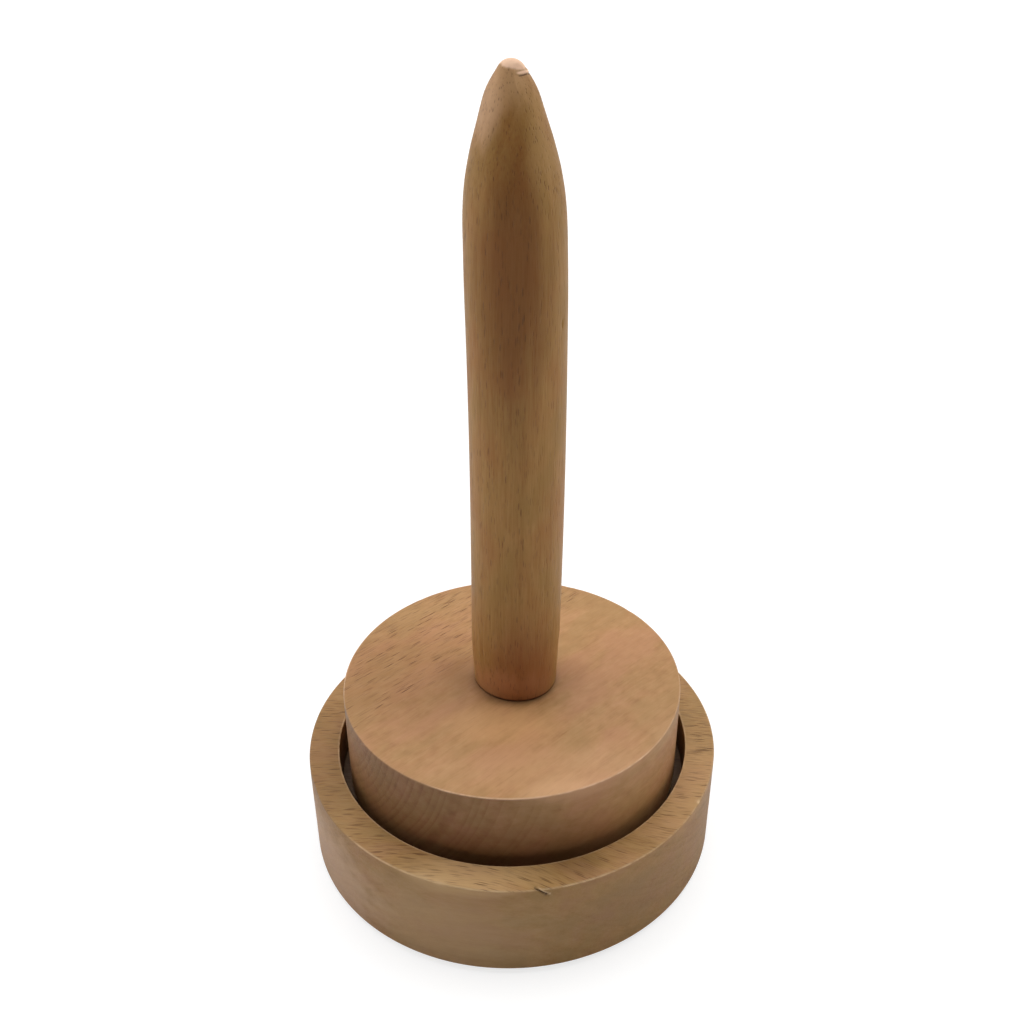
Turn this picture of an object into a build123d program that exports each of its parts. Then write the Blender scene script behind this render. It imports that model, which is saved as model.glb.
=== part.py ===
from build123d import *
import os
from math import cos, radians, sin, tan

# Revolving yarn ball holder in turned beech, in millimetres, with +Z up.
# A shallow bowl stands on four rubber pads. A thick round turntable sits in the bowl with a narrow
# gap all round and turns on one deep-groove ball bearing let into the floor of the bowl. A tapered
# spindle stands on the turntable, and the yarn ball, cake or cone is pushed down over it.
# The origin is on the table, on the spindle's axis.

# Bowl
bowl_diameter = 120.0
bowl_height = 31.0
rim_width = 8.7
pocket_depth = 12.0
rim_edge_ease = 0.5

# Turntable
running_gap = 2.8
turntable_thickness = 31.0
turntable_edge_ease = 0.4
foot_seat_depth = 0.3
foot_seat_clearance = 0.15

# Spindle
spindle_diameter = 24.8
spindle_length = 171.4
foot_draw_in = 0.65
foot_edge_ease = 0.4
foot_taper_length = 18.0
nose_half_angle = 16.5
nose_shoulder_radius = 50.0
point_half_angle = 31.7
point_width = 11.6
point_shoulder_radius = 14.0
tip_radius = 3.5

# Rubber pads under the bowl
pad_count = 4
pad_diameter = 12.0
pad_thickness = 2.0
pad_circle_diameter = 92.0

# Ball bearing, 8 by 22 by 7 with seven balls
bearing_bore = 8.0
bearing_diameter = 22.0
bearing_width = 7.0
ball_count = 7
ball_diameter = 3.969
ball_play = 0.04
outline_sides = 12
groove_depth = 0.5
shield_thickness = 0.3
shield_recess = 0.4
shield_gap = 0.2
cage_wall = 1.8
cage_back = 0.5
cage_claw_height = 1.1
cage_slot_clearance = 0.08

# Seat of the bearing in the bowl's floor
bearing_sink = 0.2
seat_clearance = 0.02
bearing_ledge = 2.0

# Bolt, washers, spacer and nut of the turning stack
bolt_length = 65.0
bolt_clearance = 0.05
bolt_tip_ease = 0.8
bolt_head_diameter = 13.0
bolt_head_height = 8.0
bolt_socket_flats = 6.0
bolt_socket_depth = 4.0
washer_clearance = 0.25
washer_well_gap = 1.0
washer_thickness = 1.6
wide_washer_diameter = 24.0
wide_washer_thickness = 2.0
wide_washer_clearance = 0.2
spacer_length = 3.5
spacer_margin = 0.1
nut_flats = 13.0
nut_height = 6.5
nut_well_clearance = 1.0
nut_cover = 0.6

# Threaded insert in the spindle's foot
insert_diameter = 12.0
insert_length = 20.0
insert_drive_depth = 3.0
insert_drive_margin = 0.25
bolt_end_room = 2.0

# Radii that follow from the sizes
bowl_radius = bowl_diameter / 2
pocket_radius = bowl_radius - rim_width
turntable_radius = pocket_radius - running_gap
spindle_radius = spindle_diameter / 2
foot_radius = spindle_radius - foot_draw_in
ball_radius = ball_diameter / 2
raceway_radius = ball_radius + ball_play
raceway_reach = raceway_radius * cos(radians(180 / outline_sides))
pitch_radius = (bearing_bore + bearing_diameter) / 4
inner_shoulder_radius = pitch_radius - raceway_reach + groove_depth
outer_shoulder_radius = pitch_radius + raceway_reach - groove_depth
bearing_seat_radius = bearing_diameter / 2 + seat_clearance
bolt_well_radius = bearing_seat_radius - bearing_ledge
bolt_radius = bearing_bore / 2 - bolt_clearance
thread_bore_radius = bolt_radius + bolt_clearance
washer_bore_radius = bolt_radius + washer_clearance
washer_radius = bolt_well_radius - washer_well_gap
spacer_radius = inner_shoulder_radius - spacer_margin
nut_corner_radius = nut_flats / 2 / cos(radians(30))
nut_well_radius = max(washer_radius, nut_corner_radius) + nut_well_clearance

# Heights above the table, from the bottom of the stack up
bowl_bottom = pad_thickness
bowl_top = bowl_bottom + bowl_height
floor_top = bowl_top - pocket_depth
bearing_top = floor_top - bearing_sink
bearing_bottom = bearing_top - bearing_width
bearing_middle = bearing_bottom + bearing_width / 2
bolt_seat = bearing_bottom - washer_thickness
bolt_end = bolt_seat + bolt_length
turntable_bottom = bearing_top + spacer_length
turntable_top = turntable_bottom + turntable_thickness
foot_seat = turntable_top - foot_seat_depth
nut_washer_bottom = foot_seat - nut_cover - nut_height - washer_thickness

os.makedirs("parts", exist_ok=True)


# Bowl: a turned blank with an eased flat rim, a pocket and a stepped hole for the bearing
with BuildPart() as bowl:
    with BuildSketch(Plane.XY.offset(bowl_bottom)):
        Circle(bowl_radius)
    extrude(amount=bowl_height)
    with BuildSketch(Plane.XY.offset(bowl_top)):
        Circle(pocket_radius)
    extrude(amount=-pocket_depth, mode=Mode.SUBTRACT)
    rim_outer_edge = bowl.edges().group_by(Axis.Z)[-1].sort_by(SortBy.RADIUS)[-1]
    chamfer(rim_outer_edge, rim_edge_ease)
    with Locations((0, 0, floor_top)):
        CounterBoreHole(
            radius=bolt_well_radius,
            counter_bore_radius=bearing_seat_radius,
            counter_bore_depth=bearing_sink + bearing_width,
            depth=floor_top - bowl_bottom,
        )
bowl.part.label = "bowl"


# Rubber pads: four stick-on discs on the diagonals of the underside
pads = []
pad_places = PolarLocations(pad_circle_diameter / 2, pad_count, start_angle=180 / pad_count)
for number, place in enumerate(pad_places, start=1):
    with BuildPart() as pad:
        with BuildSketch(Plane.XY):
            with Locations(place.position):
                Circle(pad_diameter / 2)
        extrude(amount=pad_thickness)
    pad.part.label = f"rubber_pad_{number}"
    pads.append(pad.part)


# Ball: a many-sided body, which keeps seven of them light. It is what is left inside a ring of
# prisms that share one twelve-sided outline, and the raceways have that outline with running play.
with BuildPart() as ball:
    for turn in range(outline_sides // 2):
        with BuildSketch(Plane.XZ.rotated((0, 0, turn * 360 / outline_sides))):
            RegularPolygon(ball_radius, outline_sides, rotation=180 / outline_sides)
        extrude(amount=ball_radius, both=True, mode=Mode.INTERSECT if turn else Mode.ADD)
with BuildPart() as balls:
    with Locations((0, 0, bearing_middle)):
        with PolarLocations(pitch_radius, ball_count):
            add(ball.part)
balls.part.label = "bearing_balls"

with BuildSketch(Plane.XZ) as raceway:
    with Locations((pitch_radius, bearing_middle)):
        RegularPolygon(raceway_radius, outline_sides, rotation=180 / outline_sides)


# Outer ring of the bearing, with a raceway inside
with BuildPart() as outer_ring:
    with BuildSketch(Plane.XY.offset(bearing_bottom)):
        Circle(bearing_diameter / 2)
        Circle(outer_shoulder_radius, mode=Mode.SUBTRACT)
    extrude(amount=bearing_width)
    revolve(raceway.sketch, axis=Axis.Z, mode=Mode.SUBTRACT)
outer_ring.part.label = "bearing_outer_ring"


# Inner ring of the bearing: the matching raceway on its outside, clamped on the bolt
with BuildPart() as inner_ring:
    with BuildSketch(Plane.XY.offset(bearing_bottom)):
        Circle(inner_shoulder_radius)
        Circle(bearing_bore / 2, mode=Mode.SUBTRACT)
    extrude(amount=bearing_width)
    revolve(raceway.sketch, axis=Axis.Z, mode=Mode.SUBTRACT)
inner_ring.part.label = "bearing_inner_ring"


# Cage: a crown with its back below the balls and an open slot for each of them
slot_width = ball_diameter + 2 * cage_slot_clearance
slot_bottom = bearing_middle - slot_width / 2
slot_height = slot_width / 2 + cage_claw_height
with BuildPart() as cage:
    with BuildSketch(Plane.XY.offset(slot_bottom - cage_back)):
        Circle(pitch_radius + cage_wall / 2)
        Circle(pitch_radius - cage_wall / 2, mode=Mode.SUBTRACT)
    extrude(amount=cage_back + slot_height)
    with BuildSketch(Plane.XY.offset(slot_bottom)):
        with PolarLocations(pitch_radius, ball_count):
            Rectangle(2 * cage_wall, slot_width)
    extrude(amount=slot_height, mode=Mode.SUBTRACT)
cage.part.label = "bearing_cage"


# Shields: a thin pressed disc near each face of the outer ring, just clear of the inner ring
shields = []
for shield_name, shield_bottom in (
    ("bearing_shield_lower", bearing_bottom + shield_recess),
    ("bearing_shield_upper", bearing_top - shield_recess - shield_thickness),
):
    with BuildPart() as shield:
        with BuildSketch(Plane.XY.offset(shield_bottom)):
            Circle(outer_shoulder_radius - seat_clearance)
            Circle(inner_shoulder_radius + shield_gap, mode=Mode.SUBTRACT)
        extrude(amount=shield_thickness)
    shield.part.label = shield_name
    shields.append(shield.part)


# Bolt: a socket-head screw put in from below, its thread left plain
with BuildPart() as bolt:
    with BuildSketch(Plane.XY.offset(bolt_seat)):
        Circle(bolt_radius)
    extrude(amount=bolt_length)
    chamfer(bolt.edges().group_by(Axis.Z)[-1], bolt_tip_ease)
    with BuildSketch(Plane.XY.offset(bolt_seat)):
        Circle(bolt_head_diameter / 2)
    extrude(amount=-bolt_head_height)
    with BuildSketch(Plane.XY.offset(bolt_seat - bolt_head_height)):
        RegularPolygon(bolt_socket_flats / 2, 6, major_radius=False)
    extrude(amount=bolt_socket_depth, mode=Mode.SUBTRACT)
bolt.part.label = "socket_head_bolt"


# Washers: one under the bearing's inner ring, a wide one let into the turntable, one under the nut
washers = []
for washer_name, washer_bottom, washer_outside, washer_height in (
    ("lower_washer", bolt_seat, washer_radius, washer_thickness),
    ("wide_washer", turntable_bottom, wide_washer_diameter / 2, wide_washer_thickness),
    ("nut_washer", nut_washer_bottom, washer_radius, washer_thickness),
):
    with BuildPart() as washer:
        with BuildSketch(Plane.XY.offset(washer_bottom)):
            Circle(washer_outside)
            Circle(washer_bore_radius, mode=Mode.SUBTRACT)
        extrude(amount=washer_height)
    washer.part.label = washer_name
    washers.append(washer.part)


# Spacer: a short sleeve that lifts the turntable off the bowl's floor and the outer ring
with BuildPart() as spacer:
    with BuildSketch(Plane.XY.offset(bearing_top)):
        Circle(spacer_radius)
        Circle(washer_bore_radius, mode=Mode.SUBTRACT)
    extrude(amount=spacer_length)
spacer.part.label = "spacer_sleeve"


# Nut: a plain hexagon, sunk in the turntable under the spindle
with BuildPart() as nut:
    with BuildSketch(Plane.XY.offset(nut_washer_bottom + washer_thickness)):
        RegularPolygon(nut_flats / 2, 6, major_radius=False)
        Circle(thread_bore_radius, mode=Mode.SUBTRACT)
    extrude(amount=nut_height)
nut.part.label = "hexagon_nut"


# Turntable: a thick disc with its top edge eased and a bolt hole. The wide washer is let into its
# underside, and its top has a shallow seat for the spindle's foot over the well for the nut.
with BuildPart() as turntable:
    with BuildSketch(Plane.XY.offset(turntable_bottom)):
        Circle(turntable_radius)
    extrude(amount=turntable_thickness)
    chamfer(turntable.edges().group_by(Axis.Z)[-1], turntable_edge_ease)
    with Locations((0, 0, turntable_top)):
        CounterBoreHole(
            radius=washer_bore_radius,
            counter_bore_radius=nut_well_radius,
            counter_bore_depth=turntable_top - nut_washer_bottom,
            depth=turntable_thickness,
        )
    with BuildSketch(Plane.XY.offset(turntable_top)):
        Circle(max(foot_radius + foot_seat_clearance, nut_well_radius))
    extrude(amount=-foot_seat_depth, mode=Mode.SUBTRACT)
    with BuildSketch(Plane.XY.offset(turntable_bottom)):
        Circle(wide_washer_diameter / 2 + wide_washer_clearance)
    extrude(amount=wide_washer_thickness, mode=Mode.SUBTRACT)
turntable.part.label = "turntable"


# Spindle: a sanded dowel, drawn in at the foot. Its nose is a slim cone with a blunter point on it.
# An arc eases each change of slope, and the point is tangent to the round tip.
nose_slope = radians(nose_half_angle)
point_slope = radians(point_half_angle)
spindle_top = foot_seat + spindle_length
tip_edge = (tip_radius * cos(point_slope), spindle_top - tip_radius * (1 - sin(point_slope)))
point_bottom = tip_edge[1] - (point_width / 2 - tip_edge[0]) / tan(point_slope)
nose_bottom = point_bottom - (spindle_radius - point_width / 2) / tan(nose_slope)
with BuildPart() as spindle:
    with BuildSketch(Plane.XZ):
        with BuildLine():
            outline = Polyline(
                (0, foot_seat),
                (foot_radius - foot_edge_ease, foot_seat),
                (foot_radius, foot_seat + foot_edge_ease),
                (spindle_radius, foot_seat + foot_taper_length),
                (spindle_radius, nose_bottom),
                (point_width / 2, point_bottom),
                tip_edge,
            )
            TangentArc(tip_edge, (0, spindle_top), tangent=outline % 1)
            Line((0, spindle_top), outline @ 0)
        make_face()
        fillet(vertices().sort_by(Axis.Y)[-4], nose_shoulder_radius)
        fillet(vertices().sort_by(Axis.Y)[-3], point_shoulder_radius)
    revolve(axis=Axis.Z)
    with Locations(Plane.XY.offset(foot_seat).rotated((180, 0, 0))):
        CounterBoreHole(
            radius=washer_bore_radius,
            counter_bore_radius=insert_diameter / 2 + seat_clearance,
            counter_bore_depth=insert_length,
            depth=bolt_end + bolt_end_room - foot_seat,
        )
spindle.part.label = "spindle"


# Threaded insert: a brass bush in the spindle's foot, with a hexagon to drive it home
with BuildPart() as insert:
    with BuildSketch(Plane.XY.offset(foot_seat)):
        Circle(insert_diameter / 2)
        Circle(thread_bore_radius, mode=Mode.SUBTRACT)
    extrude(amount=insert_length)
    with BuildSketch(Plane.XY.offset(foot_seat)):
        RegularPolygon(thread_bore_radius + insert_drive_margin, 6, major_radius=False)
    extrude(amount=insert_drive_depth, mode=Mode.SUBTRACT)
insert.part.label = "threaded_insert"


for piece in (
    bowl.part,
    *pads,
    outer_ring.part,
    *shields,
    balls.part,
    cage.part,
    inner_ring.part,
    bolt.part,
    *washers,
    spacer.part,
    nut.part,
    turntable.part,
    spindle.part,
    insert.part,
):
    export_step(piece, f"parts/{piece.label}.step")
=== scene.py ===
import logging
from collections.abc import Sequence
from dataclasses import dataclass
from enum import Enum
from math import cos, pi, radians, sin, tan

import bpy
import numpy as np
from mathutils import Matrix, Vector


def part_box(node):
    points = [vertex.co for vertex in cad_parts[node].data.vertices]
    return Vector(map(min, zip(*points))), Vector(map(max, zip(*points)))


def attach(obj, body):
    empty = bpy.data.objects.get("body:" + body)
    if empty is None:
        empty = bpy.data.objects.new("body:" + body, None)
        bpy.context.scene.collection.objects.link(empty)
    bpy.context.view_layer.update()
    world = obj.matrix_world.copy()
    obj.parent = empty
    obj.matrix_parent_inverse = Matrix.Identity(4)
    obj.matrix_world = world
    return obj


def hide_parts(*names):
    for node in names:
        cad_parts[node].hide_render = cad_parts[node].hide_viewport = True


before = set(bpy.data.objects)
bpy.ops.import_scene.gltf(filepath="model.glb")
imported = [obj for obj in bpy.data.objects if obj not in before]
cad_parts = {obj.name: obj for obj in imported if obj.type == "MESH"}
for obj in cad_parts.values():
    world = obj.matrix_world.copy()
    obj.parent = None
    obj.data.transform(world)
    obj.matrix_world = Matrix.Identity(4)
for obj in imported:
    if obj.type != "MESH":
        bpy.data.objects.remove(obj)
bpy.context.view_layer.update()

log = logging.getLogger("yarn_ball_holder")

MM = 0.001
SHANK_RADIUS = 3.95 * MM
SAME = 1e-6
MARGIN = 0.1 * MM
Pair = tuple[float, float]
Triple = tuple[float, float, float]
Colour = Triple
Socket = bpy.types.NodeSocket
Value = Socket | float
Shade = Socket | Colour
Feeds = dict[str | int, object]


def painted(red: float, green: float, blue: float) -> Colour:
    """Turn a screen colour into the linear colour that shaders use.

    Args:
        red: The red part, from 0 to 255.
        green: The green part.
        blue: The blue part.

    Returns:
        The linear colour, with parts from 0 to 1.
    """
    parts = np.array((red, green, blue)) / 255
    linear = np.where(parts <= 0.04045, parts / 12.92, ((parts + 0.055) / 1.055) ** 2.4)
    return tuple(float(part) for part in linear)


def reach(node: str) -> float:
    """Give the outer radius of a CAD node that stands on the upright axis."""
    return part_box(node)[1].x


def low(node: str) -> float:
    """Give the height of a CAD node's lowest point."""
    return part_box(node)[0].z


def high(node: str) -> float:
    """Give the height of a CAD node's highest point."""
    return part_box(node)[1].z


def span(node: str) -> Triple:
    """Give a CAD node's lowest height, its highest height and its outer radius."""
    return low(node), high(node), reach(node)


def smooth_step(value: np.ndarray, start: float, end: float) -> np.ndarray:
    """Rise smoothly from 0 at start to 1 at end, by the cubic 3t² - 2t³."""
    share = np.clip((value - start) / (end - start), 0, 1)
    return share * share * (3 - 2 * share)


def fade(value: np.ndarray, start: float, end: float) -> np.ndarray:
    """Fall smoothly from 1 at start to 0 at end."""
    return 1 - smooth_step(value, start, end)


@dataclass(frozen=True)
class Arc:
    """A stretch round the axis, in degrees, with a strength that falls to nothing within its soft ends."""

    start: float
    end: float
    strength: float = 1.0
    soft: float = 10.0

    def share(self, angles: np.ndarray) -> np.ndarray:
        """Strength at each angle, by the way round from the arc's middle.

        Args:
            angles: The angles round the axis.

        Returns:
            The strengths.
        """
        half = (self.end - self.start) / 2
        away = np.abs((np.degrees(angles) - self.start - half + 180) % 360 - 180)
        return self.strength * fade(away, half, half + self.soft)


def arc_shares(arcs: Sequence[Arc], angles: np.ndarray) -> np.ndarray:
    """Add up the strengths of several arcs at each angle."""
    return sum(arc.share(angles) for arc in arcs)


def bell(distance: np.ndarray, width: float) -> np.ndarray:
    """One at no distance, falling as a bell curve to 1/e at the width."""
    return np.exp(-((distance / width) ** 2))


@dataclass(frozen=True)
class Corner:
    """A corner of a turned outline, rounded by its ease, with the step of the straight that follows it."""

    radius: float
    height: float
    ease: float = 0.0
    step: float = 0.0


@dataclass
class Outline:
    """Points of a turned outline, with the length run along it and the nearness of an outward edge."""

    radius: np.ndarray
    height: np.ndarray
    closed: bool
    corners_at: np.ndarray
    outward: np.ndarray
    edge_width: float = 0.24 * MM

    @property
    def along(self) -> np.ndarray:
        """Length run along the outline at each point."""
        steps = np.hypot(np.diff(self.radius), np.diff(self.height))
        return np.concatenate(([0.0], np.cumsum(steps)))

    @property
    def edge(self) -> np.ndarray:
        """Nearness of an outward corner: a bell curve of the distance from the closest one.

        Returns:
            The nearness at each point, 1 at a corner.
        """
        along = self.along
        sharp = along[self.corners_at[self.outward]]
        if sharp.size == 0:
            return np.zeros_like(along)
        gap = np.abs(along[:, None] - sharp[None, :]).min(1)
        return bell(gap, self.edge_width)

    def corner_along(self, number: int) -> float:
        """Length run along the outline at the middle of a numbered corner."""
        return float(self.along[self.corners_at[number]])


def trace(corners: Sequence[Corner], closed: bool = True, spacing: float = 1.1 * MM) -> Outline:
    """Trace a turned outline through its corners, counterclockwise, with the solid on the left.

    An eased corner is an arc tangent to both of its straights: its centre is on the bisector, at ease over
    the sine of the half angle, and its points turn evenly from one tangent point to the other. A straight is
    divided by half a cosine wave, which puts its points close together near the corners, or evenly where its
    corner gives a step.

    Args:
        corners: The corners in order.
        closed: Whether the last corner joins the first. An open outline starts and ends on the axis.
        spacing: The mean distance between points on a straight.

    Returns:
        The outline.
    """
    places = np.array([(corner.radius, corner.height) for corner in corners])
    total = len(corners)
    arcs = []
    for number, corner in enumerate(corners):
        here, before, after = places[number], places[number - 1], places[(number + 1) % total]
        if corner.ease == 0.0 or (not closed and number in (0, total - 1)):
            arcs.append(here[None])
            continue
        back = (before - here) / np.linalg.norm(before - here)
        forth = (after - here) / np.linalg.norm(after - here)
        half = np.arccos(np.clip(back @ forth, -1, 1)) / 2
        centre = here + (back + forth) / np.linalg.norm(back + forth) * corner.ease / sin(half)
        first = here + back * corner.ease / tan(half) - centre
        last = here + forth * corner.ease / tan(half) - centre
        swept = pi - 2 * half
        share = np.linspace(0, 1, max(5, int(np.ceil(swept * corner.ease / spacing)) + 1))[:, None]
        turned = np.sin((1 - share) * swept) * first + np.sin(share * swept) * last
        arcs.append(centre + turned / sin(swept))
    points, corners_at = [], []
    for number, arc in enumerate(arcs):
        corners_at.append(sum(len(part) for part in points) + len(arc) // 2)
        points.append(arc)
        if not closed and number == total - 1:
            break
        start, end = arc[-1], arcs[(number + 1) % total][0]
        length, step = np.linalg.norm(end - start), corners[number].step
        count = max(2, int(np.ceil(length / (step or spacing))))
        even = np.linspace(0, 1, count + 1)[1:-1, None]
        share = even if step else (1 - np.cos(pi * even)) / 2
        points.append(start + (end - start) * share)
    path = np.concatenate(points)
    turn_in, turn_out = places - np.roll(places, 1, 0), np.roll(places, -1, 0) - places
    bend = turn_in[:, 0] * turn_out[:, 1] - turn_in[:, 1] * turn_out[:, 0]
    return Outline(path[:, 0], path[:, 1], closed, np.array(corners_at), bend > 0)


def ring_outline(
    radii: Pair,
    heights: Pair,
    spacing: float,
    eases: Sequence[float],
    steps: Sequence[float] = (0.0, 0.0, 0.0, 0.0),
) -> Outline:
    """Trace a ring's section: lower inner, lower outer, upper outer and upper inner corner.

    Args:
        radii: The inner and the outer radius.
        heights: The lower and the upper face.
        spacing: The mean distance between points on a straight.
        eases: The rounding of each corner.
        steps: The step of the straight that follows each corner, or nothing.

    Returns:
        The outline.
    """
    (inside, outside), (bottom, top) = radii, heights
    places = ((inside, bottom), (outside, bottom), (outside, top), (inside, top))
    corners = [Corner(*place, ease, step) for place, ease, step in zip(places, eases, steps)]
    return trace(corners, spacing=spacing)


def ring_angles(count: int, windows: Sequence[Triple] = ()) -> np.ndarray:
    """Give angles round the axis: evenly spaced, and closer together in some windows.

    Args:
        count: How many even steps make the full turn.
        windows: From, to and step of each closer window, in degrees.

    Returns:
        The sorted angles, in radians.
    """
    even = np.linspace(0, 360, count, endpoint=False)
    for start, end, step in windows:
        even = even[(even < start) | (even > end)]
        even = np.concatenate((even, np.arange(start, end + step / 2, step)))
    return np.radians(np.sort(even))


def hexagon(angles: np.ndarray, flats: float) -> np.ndarray:
    """Distance from the centre to a hexagon's side: half the flats over the cosine of the angle off it."""
    return flats / 2 / np.cos((angles + pi / 6) % (pi / 3) - pi / 6)


def thread_wave(angles: np.ndarray, heights: np.ndarray, pitch: float) -> np.ndarray:
    """Screw thread from 0 at its root to 1 at its crest: a clipped triangle wave of height less the turn."""
    turn = (heights / pitch - angles / (2 * pi)) % 1
    return np.clip(1.3 * (1 - np.abs(2 * turn - 1)) - 0.15, 0, 1)


class Surface:
    """A grid of points, with rows along an outline and columns round an upright axis."""

    def __init__(self, outline: Outline, angles: np.ndarray, centre: Pair = (0.0, 0.0)) -> None:
        """Turn an outline round an axis: a point is radius by cosine, radius by sine, and height.

        Args:
            outline: The outline to turn.
            angles: The angles of the columns.
            centre: Where the upright axis stands.
        """
        self.outline = outline
        self.angles = np.broadcast_to(angles[None, :], (outline.radius.size, angles.size))
        self.radius = np.repeat(outline.radius[:, None], angles.size, axis=1)
        self.height = np.repeat(outline.height[:, None], angles.size, axis=1)
        self.centre = centre
        self.shift = np.zeros((outline.radius.size, angles.size, 3))
        along = outline.along[:, None]
        self.marks = {
            "turning": np.repeat(along / MM, angles.size, axis=1),
            "edge": np.repeat(outline.edge[:, None], angles.size, axis=1),
        }
        slope_r, slope_z = np.gradient(outline.radius), np.gradient(outline.height)
        length = np.maximum(np.hypot(slope_r, slope_z), 1e-9)
        self.normal_r, self.normal_z = (slope_z / length)[:, None], (-slope_r / length)[:, None]

    @property
    def along(self) -> np.ndarray:
        """Length run along the outline, as one column."""
        return self.outline.along[:, None]

    def sink(self, depth: np.ndarray) -> None:
        """Press the surface in, against its outward normal, by a depth for each point."""
        self.radius = self.radius - self.normal_r * depth
        self.height = self.height - self.normal_z * depth

    def points(self) -> np.ndarray:
        """Give the place of every point: radius by cosine, radius by sine, and height, then its shift.

        Returns:
            The places on the grid.
        """
        x = self.centre[0] + self.radius * np.cos(self.angles)
        y = self.centre[1] + self.radius * np.sin(self.angles)
        return np.stack((x, y, self.height), -1) + self.shift


def build_mesh(name: str, surfaces: Sequence[Surface], sharp: float) -> bpy.types.Object:
    """Join turned grids into one mesh, with a single point at each pole and its faces outward.

    Args:
        name: The name of the new piece.
        surfaces: The grids.
        sharp: The angle in degrees from which an edge stays sharp in smooth shading.

    Returns:
        The new object, at the origin, with its marks as attributes.
    """
    places, faces, marks, start = [], [], {}, 0
    for surface in surfaces:
        rows, columns = surface.radius.shape
        index = np.arange(rows * columns).reshape(rows, columns)
        if not surface.outline.closed:
            index[0], index[-1] = index[0, 0], index[-1, 0]
        kept, packed = np.unique(index, return_inverse=True)
        index = packed.reshape(rows, columns) + start
        lower = index if surface.outline.closed else index[:-1]
        upper = np.roll(index, -1, 0) if surface.outline.closed else index[1:]
        quads = np.stack((lower, np.roll(lower, -1, 1), np.roll(upper, -1, 1), upper), -1)
        if not surface.outline.closed:
            faces += quads[0][:, [0, 2, 3]].tolist() + quads[-1][:, [0, 1, 2]].tolist()
            quads = quads[1:-1]
        faces += quads.reshape(-1, 4).tolist()
        places.append(surface.points().reshape(-1, 3)[kept])
        for mark, values in surface.marks.items():
            marks.setdefault(mark, []).append(values.reshape(-1)[kept])
        start += kept.size
    mesh = bpy.data.meshes.new(name)
    mesh.from_pydata(np.concatenate(places).tolist(), [], faces)
    for mark, values in marks.items():
        layer = mesh.attributes.new(mark, "FLOAT", "POINT")
        layer.data.foreach_set("value", np.concatenate(values).astype(np.float32))
    mesh.polygons.foreach_set("use_smooth", np.ones(len(mesh.polygons), bool))
    mesh.set_sharp_from_angle(angle=radians(sharp))
    mesh.update()
    piece = bpy.data.objects.new(name, mesh)
    bpy.context.scene.collection.objects.link(piece)
    return piece


@dataclass(frozen=True)
class Dent:
    """A small hollow, or a bump where its depth is negative, round a place on a turned surface.

    Its paint is 1 where it bares raw wood and -1 where it darkens the hollow, as dirt and painted shade.
    """

    angle: float
    along: float
    depth: float
    wide: float
    tall: float
    paint: float = 0.0

    def depths(self, surface: Surface, edge_at: float) -> np.ndarray:
        """Depth at each point: a bell curve of the distance round the axis and along the outline.

        Args:
            surface: The surface that is pressed in.
            edge_at: The length along the outline from which this dent's place is measured.

        Returns:
            The depths on the grid.
        """
        turn = (surface.angles - radians(self.angle) + pi) % (2 * pi) - pi
        across, down = turn * surface.radius / self.wide, (surface.along - edge_at - self.along) / self.tall
        return self.depth * np.exp(-(across**2) - down**2)


@dataclass(frozen=True)
class Cut:
    """A narrow scratch from one place on a turned surface to another, painted as a dent is."""

    start: Pair
    end: Pair
    depth: float
    half_width: float
    paint: float = 0.0

    def depths(self, surface: Surface, edge_at: float) -> np.ndarray:
        """Depth at each point: a bell curve of the distance from the scratch, tapering to both of its ends.

        Args:
            surface: The surface that is cut.
            edge_at: The length along the outline from which the ends are measured.

        Returns:
            The depths on the grid.
        """
        turn = (surface.angles - radians(self.start[0]) + pi) % (2 * pi) - pi
        x, y = turn * surface.radius, surface.along - edge_at - self.start[1]
        run = radians(self.end[0] - self.start[0]) * float(surface.radius.max()), self.end[1] - self.start[1]
        length = float(np.hypot(*run))
        ahead = (x * run[0] + y * run[1]) / length
        aside = (x * run[1] - y * run[0]) / length
        taper = smooth_step(ahead, -0.1 * length, 0.25 * length) * fade(ahead, 0.8 * length, 1.1 * length)
        return self.depth * bell(aside, self.half_width) * taper


def slow_wave(angles: np.ndarray, seed: int, lobes: int, amount: float) -> np.ndarray:
    """Unevenness round a hand-finished edge: whole-lobed cosines with seeded phases, the higher ones weaker.

    Args:
        angles: The angles round the axis.
        seed: The seed of the phases.
        lobes: The highest count of lobes.
        amount: The size of the wave.

    Returns:
        The wave at each angle.
    """
    counts = np.arange(2, lobes + 1).reshape(-1, *([1] * angles.ndim))
    phases = np.random.default_rng(seed).uniform(0, 2 * pi, counts.shape)
    return amount * (np.cos(counts * angles[None] + phases) / np.sqrt(counts)).sum(0) / np.sqrt(lobes)


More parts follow.
